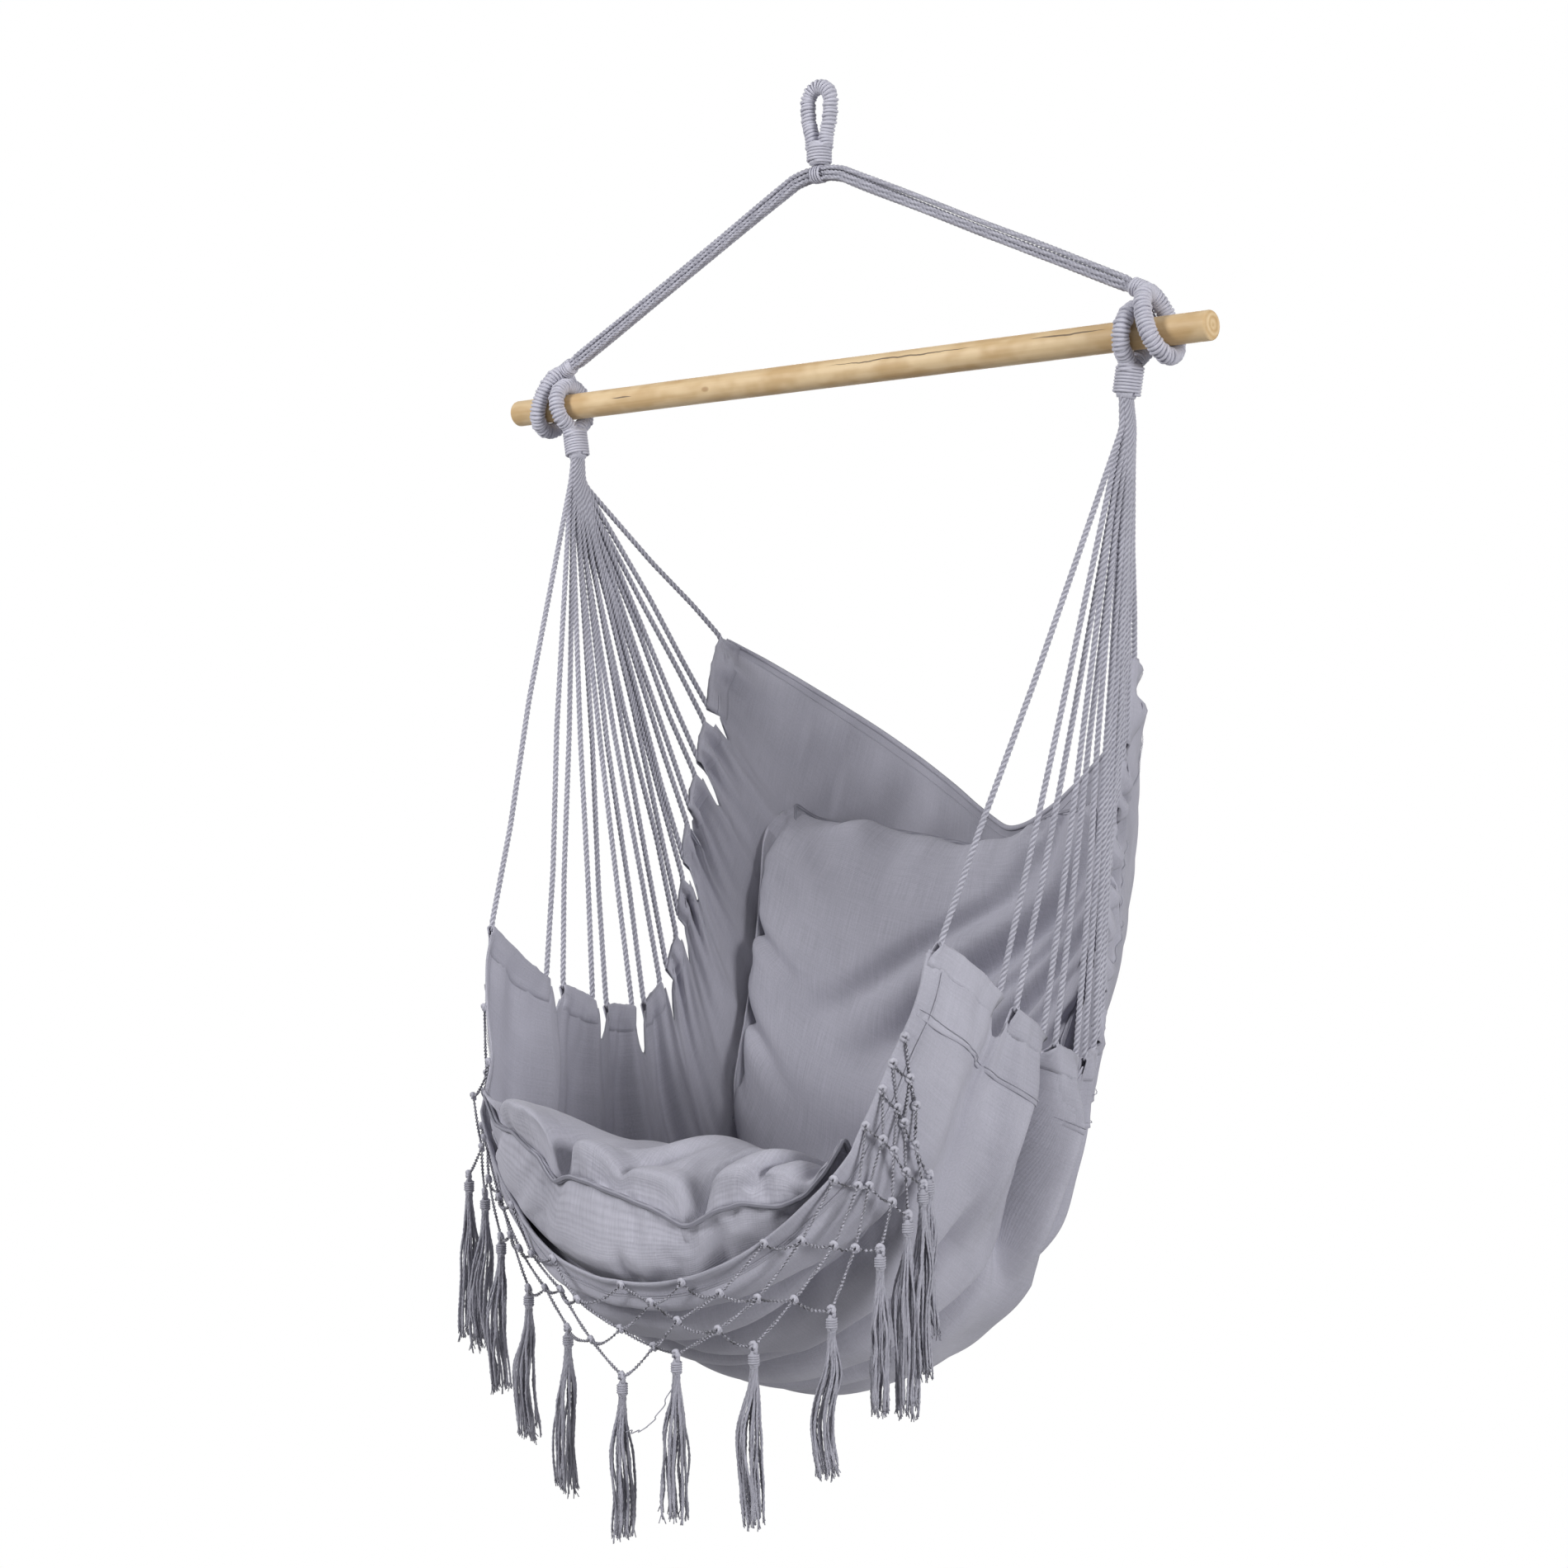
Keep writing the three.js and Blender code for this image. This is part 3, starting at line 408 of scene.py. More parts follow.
def section(sides, lobes, groove=0.8):
    """A ring's corners as angle and share of the radius: round, or with some lobes. Groove says
    how deep the valleys between the lobes are: 1 for round strands that just touch."""
    angles = np.arange(sides + 1) * 2 * math.pi / sides
    if not lobes:
        return angles, np.ones(sides + 1)
    near = (angles + math.pi / lobes) % (2 * math.pi / lobes) - math.pi / lobes
    offset = 1 - LOBE_SHARE
    inner = offset * np.sin(near) / LOBE_SHARE
    full = offset * np.cos(near) + LOBE_SHARE * np.sqrt(np.maximum(0, 1 - inner**2))
    return angles, 1 - groove * (1 - full)


def grid_of(bm, points):
    """Faces through a grid of points. Gives the vertices back, row by row."""
    rows, columns = points.shape[:2]
    size = {"x_segments": columns - 1, "y_segments": rows - 1, "size": 1}
    verts = bmesh.ops.create_grid(bm, **size)["verts"]
    for vert, corner in zip(verts, points.reshape(-1, 3)):
        vert.co = corner
    return verts


def mark(mesh, name, values):
    """Gives each vertex a number, or a place, that a finish reads."""
    values = np.asarray(values, np.float32)
    kind, field = ("FLOAT", "value") if values.ndim == 1 else ("FLOAT_VECTOR", "vector")
    mesh.attributes.new(name, kind, "POINT").data.foreach_set(field, values.ravel())


LAY_STEP = 7.3


class Yarn:
    """Collects closed tubes in one mesh, with the attributes that the cord finish reads: lay, and
    hollow, which is how deep a point lies between the strands. Each tube's lay starts further on
    than the last one's, so that no two look alike."""
    def __init__(self):
        self.bm = bmesh.new()
        self.lays, self.hollows = [], []

    def tube(self, line, diameter, sides=9, lobes=3, pitch=0.011, turn=0.0, ends=None,
             groove=0.8):
        """Rolls a grid round the line. Ends gives the share of the diameter along the tube."""
        line = np.asarray(line, float)
        far = distances(line)
        _, side, other = ring_frames(line)
        angles, shares = section(sides, lobes, groove)
        spin = angles[None, :] + turn + (2 * math.pi / pitch * far[:, None] if lobes else 0)
        radius = diameter / 2 * shares[None, :] * np.ones((len(line), 1))
        if ends is not None:
            radius = radius * ends(far / far[-1])[:, None]
        ring = np.cos(spin)[..., None] * side[:, None] + np.sin(spin)[..., None] * other[:, None]
        corners = line[:, None] + ring * radius[..., None]
        lay = np.stack([radius * np.cos(angles), radius * np.sin(angles),
                        far[:, None] + 0 * radius + LAY_STEP * len(self.lays)], axis=-1)
        verts = grid_of(self.bm, corners)
        width = sides + 1
        bmesh.ops.weld_verts(self.bm, targetmap={
            verts[row * width + sides]: verts[row * width] for row in range(len(line))})
        self.lays.append(lay[:, :sides].reshape(-1, 3))
        self.hollows.append(np.tile(1 - shares[:sides], len(line)))
        for row in (0, len(line) - 1):
            ring_verts = verts[row * width:row * width + sides]
            self.bm.faces.new(ring_verts if row else ring_verts[::-1])

    def finish(self, name, finish, body, slot, *nodes):
        mesh = bpy.data.meshes.new(name)
        bmesh.ops.recalc_face_normals(self.bm, faces=self.bm.faces)
        self.bm.to_mesh(mesh)
        self.bm.free()
        mark(mesh, "lay", np.vstack(self.lays))
        mark(mesh, "hollow", np.concatenate(self.hollows))
        mesh.shade_smooth()
        return placed(name, mesh, finish, body, slot, *nodes)


def placed(name, mesh, finish, body, slot, *nodes):
    """Makes a mesh a piece of the chair: its finish, its body and the solids it stands for."""
    made = bpy.data.objects.new(name, mesh)
    bpy.context.scene.collection.objects.link(made)
    mesh.materials.clear()
    mesh.materials.append(finish)
    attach(made, body)
    if nodes:
        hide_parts(*nodes)
    return made


print("tube helpers ready")

# %% [markdown]
# ## Served rope
# Where rope bears on the bar or the hook it is served: yarn is wound tightly round it, turn beside
# turn, so that it doesn't chafe. The real thing is a core and one long spiral, and that is how it
# is made here. A spiral follows the rope's path, and a plain core fills the middle.
# %% Serving and whipping
def spiral(line, radius, pitch, turn=0.0, steps=12, uneven=0.0):
    """Points wound round a line, at a radius, one turn for each pitch of the line. Uneven lets
    each turn lie a little higher or lower than the last, and lean."""
    total = straight_length(line)
    count = max(24, int(total / pitch * steps))
    fine, _ = resampled(line, total / count)
    ahead, side, other = ring_frames(fine)
    step = np.arange(len(fine))
    angle = (step * 2 * math.pi / steps + turn)[:, None]
    lift = np.sin(step * 1.71 / steps * 2.3) + np.sin(step * 4.3 / steps + 2) * 0.8
    lean = np.sin(step * 2 * math.pi / steps + step * 0.9 / steps) * 0.8
    out = radius + uneven * lift[:, None] * 0.5
    around = out * (np.cos(angle) * side + np.sin(angle) * other)
    return fine + around + ahead * (uneven * lean)[:, None]


CORE_CUT = 1.3
TURN_PITCH = 1.12
TURN_WIDTH = 1.04
TURN_STRAY = 0.0007


def served(yarn, line, outer, wound):
    """A core along the line, and yarn of the wound diameter laid round it."""
    core, _ = resampled(line, 0.003)
    yarn.tube(core, outer - CORE_CUT * wound, sides=14, lobes=0)
    wrap = spiral(line, (outer - wound) / 2, wound * TURN_PITCH, steps=16, uneven=TURN_STRAY)
    yarn.tube(wrap, wound * TURN_WIDTH, sides=7, lobes=0)


LOOP_ROPE = 0.0175
LOOP_BEND = 0.0164
LOOP_CENTRE = -0.00765
LOOP_YARN = 0.0036
NECK_TOP, NECK_BOTTOM = -0.057, -0.078
NECK_DIAMETER = 0.0226
WHIPPING_YARN = 0.0032
CROTCH_HEIGHT = -0.0887
CROTCH_LENGTH = 0.0206

arc = [(LOOP_BEND * math.cos(a), 0, LOOP_CENTRE + LOOP_BEND * math.sin(a))
       for a in np.linspace(math.pi, 0, 13)]
loop_line = smoothed_line(
    [(-0.0092, 0, -0.060), (-0.0100, 0, -0.047), (-0.0150, 0, -0.028), *arc,
     (0.0150, 0, -0.028), (0.0100, 0, -0.047), (0.0092, 0, -0.060)], 0.001)
loop = Yarn()
served(loop, loop_line, LOOP_ROPE, LOOP_YARN)
loop.finish("hanging_loop_served", rope, "loop", "rope", "hanging_loop", "loop_serving")

neck = Yarn()
neck_line = np.array([(0, 0, z) for z in np.linspace(NECK_TOP + 0.004, NECK_BOTTOM, 12)])
neck.tube(neck_line, NECK_DIAMETER, sides=24, lobes=0)
neck.tube(spiral(np.array([(0, 0, NECK_TOP - 0.0005), (0, 0, NECK_BOTTOM + 0.002)]),
                 (NECK_DIAMETER + WHIPPING_YARN) / 2, WHIPPING_YARN * 1.06, steps=20),
          WHIPPING_YARN, sides=7, lobes=0)
neck.finish("loop_neck_whipped", rope, "loop", "rope", "loop_whipping")
print("loop rope", round(straight_length(loop_line), 3), "m")

# %% [markdown]
# ## Suspension ropes
# One bundle of six twisted cords comes over the neck's underside and runs to each end of the bar.
# The cords lie side by side and change places a little. The bend below the loop is a short
# piece of its own, because it turns on the loop.
# %% Bundles of cords
CORD_IN_BUNDLE = 0.0060
BUNDLE_PITCH = 0.0180
LAYS = [(x, y) for x in (-1, 1) for y in (-1, 0, 1)]
DEEP_PITCH, HIGH_PITCH = 0.5, 0.93


def bundle(yarn, line, spread, drift, seed):
    """Six twisted cords along a line. Spread gives their distance at shares of the line."""
    fine, far = resampled(line, BUNDLE_PITCH / 15)
    ahead = unit(np.gradient(fine, axis=0))
    deep = np.tile(np.array([0, 1.0, 0]), (len(fine), 1))
    high = unit(np.cross(deep, ahead))
    share = far / far[-1]
    rng = np.random.default_rng(seed)

    def strayed():
        return sum(rng.normal(0, drift / (k + 1)) * np.sin(k * math.pi * share)
                   for k in range(1, 6))

    for number, (x, y) in enumerate(LAYS):
        wander = strayed()
        rise = strayed()
        apart = spread(share) * CORD_IN_BUNDLE
        place = (fine + deep * (DEEP_PITCH * x * apart + wander)[:, None]
                 + high * (HIGH_PITCH * y * apart + rise)[:, None])
        yarn.tube(place, CORD_IN_BUNDLE, 12, 3, BUNDLE_PITCH, turn=number)


def eye_top(side):
    height = EYE_BEND + SUSPENSION_LIFT
    return np.array([side * (SUSPENSION_EYE - SUSPENSION_SLANT * height) + BAR_PLACE, 0,
                     height - BAR_DROP])


SIDES = {"left": -1, "right": 1}
TAIL = 0.021
ROPE_TURN = 0.0256
BUNDLE_DRIFT = 0.0010
for hand, side in SIDES.items():
    turn = np.array([side * ROPE_TURN, 0, CROTCH_HEIGHT])
    top = eye_top(side)
    pull = unit(turn - top)
    end = top + pull * (TAIL - 0.004)
    start = np.array([side * (CROTCH_LENGTH / 2 + 0.0004), 0, CROTCH_HEIGHT])
    line = smoothed_line([start, start + [side * 0.004, 0, 0], turn - pull * 0.010,
                          turn - pull * 0.030, (turn + end) / 2, end + pull * 0.03, end], 0.004)
    made = Yarn()
    bundle(made, line, lambda s: 1 - 0.16 * (s > 0.97), BUNDLE_DRIFT, 11 + side)
    piece = made.finish(f"suspension_cords_{hand}", rope, "suspension", "rope",
                        f"suspension_rope_{hand}")
    print(hand, "suspension rope", round(straight_length(line), 3), "m")

crotch = Yarn()
saddle = np.linspace((-CROTCH_LENGTH / 2, 0, CROTCH_HEIGHT),
                     (CROTCH_LENGTH / 2, 0, CROTCH_HEIGHT), 7)
bundle(crotch, saddle, lambda s: 1 + 0 * s, 0.0, 3)
crotch.tube(spiral(saddle[[1, -2]], 0.0088, 0.0034, steps=16), 0.0030, 6, 0)
crotch.finish("rope_crotch_cords", rope, "crotch", "rope", "rope_crotch")

# %% [markdown]
# ## Eyes on the bar
# Each end of the bar passes through two served eyes: the one from the suspension rope, drawn out
# to a drop shape by the rope's pull, and the one that the harness hangs from, whose two legs close
# into a whipped neck.
# %% Suspension and harness eyes
EYE_YARN = 0.0036
HARNESS_LEG = 0.0078
PLUG_TOP, PLUG_BOTTOM = -0.3433, -0.3763


def leaned(points, slant, place):
    """Local points (x, y, z) round the bar's axis, leaned sideways and set at a place along it."""
    points = np.asarray(points, float).copy()
    points[:, 0] += slant * points[:, 2]
    return points + np.array([place, 0, -BAR_DROP])


def harness_place(side, height):
    return side * (HARNESS_EYE + HARNESS_SLANT * (height + BAR_DROP)) + BAR_PLACE


for hand, side in SIDES.items():
    angles = np.linspace(-math.pi / 2, 1.5 * math.pi, 49)
    ring = [(0, EYE_BEND * math.cos(a), EYE_BEND * math.sin(a)
             + SUSPENSION_LIFT * max(0, math.sin(a)) ** 1.3) for a in angles]
    place = side * SUSPENSION_EYE + BAR_PLACE
    ring = leaned(ring, -side * SUSPENSION_SLANT, place)
    eye = Yarn()
    served(eye, ring, EYE_ROPE, EYE_YARN)
    top = eye_top(side)
    pull = unit(np.array([side * ROPE_TURN, 0, CROTCH_HEIGHT]) - top)
    tail = np.array([top - pull * 0.006, top + pull * (TAIL - 0.001)])
    eye.tube(resampled(tail, 0.003)[0], EYE_ROPE - 0.0015, 20, 0)
    eye.tube(spiral(np.array([top + pull * 0.005, top + pull * (TAIL - 0.002)]),
                    (EYE_ROPE - 0.0022) / 2, 0.0033, steps=16), EYE_YARN, 6, 0)
    eye.finish(f"suspension_eye_{hand}_served", rope, "suspension", "rope",
               f"suspension_eye_{hand}")

    arc = [(0, EYE_BEND * math.cos(a), EYE_BEND * math.sin(a))
           for a in np.radians(np.linspace(-42, 222, 29))]
    legs = [(0, HARNESS_LEG, z) for z in (-0.036, -0.030, -0.026)]
    bow = [*legs, *arc, *[(x, -y, z) for x, y, z in legs[::-1]]]
    bow = leaned(smoothed_line(bow, 0.001), side * HARNESS_SLANT, side * HARNESS_EYE + BAR_PLACE)
    eye = Yarn()
    served(eye, bow, EYE_ROPE, EYE_YARN)
    eye.finish(f"harness_eye_{hand}_served", rope, "sling", "rope", f"harness_eye_{hand}")

    heights = np.linspace(PLUG_TOP + 0.002, PLUG_BOTTOM, 12)
    core = np.array([(harness_place(side, z), 0, z) for z in heights])
    neck = Yarn()
    neck.tube(core, NECK_DIAMETER + 0.001, 24, 0,
              ends=lambda s: 1 - 0.18 * smooth(s, 0.8, 1))
    wound = core[[0, -1]].copy()
    wound[0, 2], wound[1, 2] = PLUG_TOP - 0.0015, PLUG_BOTTOM + 0.004
    wound[:, 0] = [harness_place(side, z) for z in wound[:, 2]]
    neck.tube(spiral(wound, (NECK_DIAMETER + 0.001 + WHIPPING_YARN) / 2,
                     WHIPPING_YARN * 1.05, steps=20), WHIPPING_YARN, 7, 0)
    neck.finish(f"harness_neck_{hand}_whipped", rope, "sling", "rope",
                f"harness_whipping_{hand}")
print("eyes made with yarn", EYE_YARN * 1000, "mm thick")

# %% [markdown]
# ## Spreader bar
# The bar is a pine dowel with softened ends. It starts as a cone with equal ends, which is
# Blender's cylinder. The end edges are bevelled, and a slow bend and flats a quarter of a
# millimetre deep take away its machined look.
# %% The dowel
END_ROUNDING = 0.0032
FLATS = 0.012
BAR_BOW = 0.0003

bar_bm = bmesh.new()
bmesh.ops.create_cone(bar_bm, cap_ends=True, segments=64, radius1=BAR_DIAMETER / 2,
                      radius2=BAR_DIAMETER / 2, depth=BAR_LENGTH)
rims = [e for e in bar_bm.edges if abs(e.verts[0].co.z - e.verts[1].co.z) < 1e-5]
bmesh.ops.bevel(bar_bm, geom=rims, offset=END_ROUNDING, affect="EDGES", segments=4, profile=0.5,
                material=-1)
staves = [e for e in bar_bm.edges if abs(e.verts[0].co.z - e.verts[1].co.z) > 0.5]
bmesh.ops.subdivide_edges(bar_bm, edges=staves, cuts=80, use_grid_fill=True)
bmesh.ops.rotate(bar_bm, verts=bar_bm.verts, matrix=Matrix.Rotation(math.pi / 2, 3, "Y"))
for vert in bar_bm.verts:
    x, y, z = vert.co
    wave = math.sin(3 * math.atan2(z, y) + 9 * x + math.sin(23 * x))
    round_share = 1 - FLATS * (0.5 + 0.5 * wave)
    vert.co = (x, y * round_share + BAR_BOW * math.sin(7 * x), z * round_share)
bmesh.ops.translate(bar_bm, verts=bar_bm.verts, vec=(BAR_PLACE, 0, -BAR_DROP))
bar_mesh = bpy.data.meshes.new("spreader_bar_dowel")
bar_bm.to_mesh(bar_mesh)
bar_bm.free()
bar_mesh.shade_smooth()
print("dowel faces:", len(bar_mesh.polygons))

# %% [markdown]
# Pine shows long pale and honey streaks where the saw has cut its rings, small knots, and hairline
# drying cracks that have gone dark. All of them run along the bar, so the pattern is squeezed
# across it. Each crack is a band round one angle of the bar that wanders a little.
# %% Pine
pine, shader, base = new_material("pine", 0.5)
place = base.node("ShaderNodeMapping", {}, {
    "Vector": base.node("ShaderNodeTexCoord", out="Object"),
    "Location": (-BAR_PLACE, 0, BAR_DROP)})
far, deep, high = base.node("ShaderNodeSeparateXYZ", {}, {"Vector": place}).beside("X", "Y", "Z")
angle = high.math("ARCTAN2", deep * -1)
grain = noise(base, stretched(base, place, (3.5, 210, 210)), 1.0, 4.0, 0.6)
streak = noise(base, stretched(base, place, (1.1, 42, 42)), 1.0, 3.0, 0.55)
rings = base.node("ShaderNodeTexWave", {"wave_type": "RINGS", "rings_direction": "X"}, {
    "Vector": stretched(base, place, (0.55, 1, 1)), "Scale": 46.0, "Distortion": 5.5,
    "Detail": 2.0, "Detail Scale": 0.8}, out="Fac")
shade = grain * 0.30 + streak * 0.45 + rings * 0.25
honey = tinted(base, ranged(base, shade, 0.30, 0.68), (0.50, 0.325, 0.150),
               (0.705, 0.535, 0.322))


def crack(start, end, turn, width, wander):
    """A dark hairline between two places along the bar, at an angle from level in degrees."""
    middle, half = (start + end) / 2, (end - start) / 2
    shift = noise(base, stretched(base, place, (1, 0, 0)), 26.0, 3.0) * wander - wander / 2
    off = (angle - math.radians(turn) + shift).math("ABSOLUTE")
    ends = ((far - middle).math("ABSOLUTE") * (1 / half)).math("POWER", 2.0)
    broken = noise(base, stretched(base, place, (1, 0, 0)), 60.0, 1.0) * 1.4 - 0.2
    dark = (1 - off * (1 / width) - ends * 0.9 + broken * 0.4) * 2.5
    return base.node("ShaderNodeClamp", {}, {"Value": dark})


def knot(x, turn, size):
    """A small dark spot with a soft edge, drawn out along the grain."""
    along = (far - x) * (1 / size)
    about = (angle - math.radians(turn)) * (BAR_DIAMETER / 2 / size * 1.8)
    return base.node("ShaderNodeClamp", {}, {
        "Value": 1.3 - (along * along + about * about) * 1.1})


CRACKS = [(0.015, 0.205, 24, 0.060, 0.55), (0.285, 0.372, 27, 0.065, 0.4),
          (-0.32, -0.29, 3, 0.05, 0.2), (0.03, 0.16, 140, 0.04, 0.5),
          (-0.35, -0.2, -100, 0.04, 0.4)]
KNOTS = [(-0.172, -8, 0.006), (0.13, 150, 0.006), (-0.06, -120, 0.005)]


def strongest(wires):
    """The greatest of several values."""
    greatest, *others = wires
    for other in others:
        greatest = greatest.math("MAXIMUM", other)
    return greatest


marks = strongest([crack(*row) for row in CRACKS])
spots = strongest([knot(*row) for row in KNOTS])
worn = tinted(base, spots * 0.6, honey, (0.30, 0.155, 0.06))
colour = tinted(base, marks * 0.85, worn, (0.10, 0.075, 0.055))
feed(shader, Base_Color=colour, Roughness=grain * 0.18 + 0.42,
     Normal=bumped(base, grain * 0.4 - marks * 1.5, 0.0005, 0.6))
placed("spreader_bar_dowel", bar_mesh, pine, "bar", "wood", "spreader_bar")
print("pine nodes:", len(pine.node_tree.nodes))

# %% [markdown]
# ## Harness cords
# Ten cords hang from each neck. Each goes down to the cloth, through the casing along one tab, and
# back up, so twenty runs fan out on each side. They carry the seat, so they are straight, with a
# little slack in a few. They leave the neck side by side and bend only where they enter the cloth.
# %% Cords from the necks through the casings
HARNESS_CORD = 0.0068
CORD_PITCH = 0.0190
NOTCH_HALF = 0.011
CORD_INSET = 0.004
GAP_OUT = 0.0034
TAB_ARCH = 0.0045
CREST_DEPTH = 0.0015
NECK_SPREAD = 0.0078
LEAVE_DROP = 0.028
CORD_STRAY = 0.0022
LOW_STRAY = 0.0012
ENTRY_BEND = 0.034
TABS = [(a + (NOTCH_HALF if i else 0) + CORD_INSET, b - (NOTCH_HALF if b < 1 else 0) - CORD_INSET)
        for i, (a, b) in enumerate(zip(MARKS, MARKS[1:]))]


def in_tab(place):
    """Which tab each place is in, counted from 1, and how far along that tab it is, 0 to 1."""
    step = np.clip(np.searchsorted(MARKS, place, side="right"), 1, len(MARKS) - 1)
    return step, (place - MARKS[step - 1]) / (MARKS[step] - MARKS[step - 1])


def crest(place, side):
    """Where a cord runs inside the casing, just off the cloth's edge."""
    place = np.asarray(place, float)
    _, outwards, inwards = sling_frame(place, np.full(place.shape, float(side)))
    run = unit(sling_point(np.minimum(place + 0.02, 1), side)
               - sling_point(np.maximum(place - 0.02, 0), side))
    outwards = outwards * side
    outwards = unit(outwards - run * (outwards * run).sum(axis=-1, keepdims=True))
    out = GAP_OUT + TAB_ARCH * np.sin(np.pi * np.clip(in_tab(place)[1], 0, 1))[..., None]
    return sling_point(place, side) - inwards * CREST_DEPTH + outwards * out


def neck_start(side, order):
    """Where a run of cord leaves the neck. The runs are in two rows, ordered front to back."""
    share = 2 * order / (2 * len(TABS) - 1) - 1
    row = (1 if order % 2 == 0 else -1) * math.sqrt(1 - share * share)
    height = PLUG_BOTTOM + HARNESS_CORD / 2
    return np.array([harness_place(side, height) + NECK_SPREAD / 2 * row, NECK_SPREAD * share,
                     height])


harness_lengths = []
rng = np.random.default_rng(5)
for hand, side in SIDES.items():
    for number, (start, end) in enumerate(TABS):
        tab = crest(np.linspace(start, end, 7), side)
        tops = [neck_start(side, 2 * number + k) for k in (0, 1)]
        runs = []
        for top, foot in zip(tops, (tab[0], tab[-1])):
            away = unit(foot - top)
            down = np.array([side * HARNESS_SLANT * 0.6, 0, -1.0])
            leave = top + down * LEAVE_DROP + away * 0.006
            middle = (leave + foot) / 2 + rng.normal(0, CORD_STRAY, 3) * (1, 1, 0.3)
            low = leave + (foot - leave) * 0.78 + rng.normal(0, LOW_STRAY, 3)
            runs.append([top, top + (0, 0, -0.008), leave, middle, low, foot])
        rows = [*runs[0][:-1], *tab, *runs[1][-2::-1]]
        line = resampled(rounded(rows, ENTRY_BEND), CORD_PITCH / 12)[0]
        cord = Yarn()
        cord.tube(line, HARNESS_CORD, 12, 3, CORD_PITCH, turn=number, groove=1.0,
                  ends=lambda s: 0.8 + 0.2 * smooth(np.minimum(s, 1 - s), 0.0, 0.03))
        piece = cord.finish(f"harness_cord_{hand}_{number + 1:02}", rope, "sling", "rope",
                            f"harness_cords_{hand}")
        length = round(straight_length(line), 3)
        harness_lengths.append(length)
print("harness cords, m:", harness_lengths)

# %% [markdown]
# ## How the cloth folds
# Where the cords pull the canvas up, it gathers: it dips inwards at each notch and stands out behind
# each tab, and those pleats fade towards the seat. A simulation would lose the CAD shape, so the
# folds are written as displacements off the smooth surface, each with its own depth and reach. A
# crease under the seat has its place, tilt, middle, half length, depth and width in one row.
# %% Pleats, drape and notches
NOTCH_CUT = 0.052
FOLD_INNER = 0.62
FLANK_VALLEY = 0.078
FLANK_SWELL = 0.015
WALL_FOLD = 0.011
BELLY_DROP = 0.014
RIPPLE = 0.0062
rng = np.random.default_rng(17)
NOTCH_DEPTHS = {side: 0.010 + 0.006 * rng.random(len(MARKS)) for side in (-1, 1)}
NOTCH_CUTS = {side: 0.75 + 0.75 * rng.random(len(MARKS)) for side in (-1, 1)}
WAVES = [(rng.normal(0, 1, 2) * 5.2, rng.uniform(0, 6.28), 1.0) for _ in range(7)]
WAVES += [(rng.normal(0, 1, 2) * 13, rng.uniform(0, 6.28), 0.35) for _ in range(9)]
BELLY_CREASES = [
    (0.040, 0.020, 0.02, 0.62, 0.037, 0.0085), (0.078, -0.030, 0.30, 0.45, 0.033, 0.009),
    (0.108, 0.034, -0.18, 0.45, 0.037, 0.009), (0.150, -0.012, 0.18, 0.70, 0.034, 0.011),
    (0.205, 0.030, 0.34, 0.50, 0.028, 0.011), (0.235, -0.020, -0.10, 0.45, 0.018, 0.012),
]


def ripple(place, across):
    """A soft, uneven rise and fall of cloth, about -1 to 1."""
    total = sum(size * np.sin(k[0] * place * 2 + k[1] * across * 1.4 + phase)
                for k, phase, size in WAVES)
    return total / 3.2


def near_notch(place):
    """1 at a notch and 0 past its corners, and which notch is the nearest."""
    away = np.abs(place[..., None] - np.array(NOTCHES))
    nearest = away.argmin(axis=-1)
    return np.clip(1 - (away.min(axis=-1) / NOTCH_HALF) ** 1.5, 0, 1), nearest


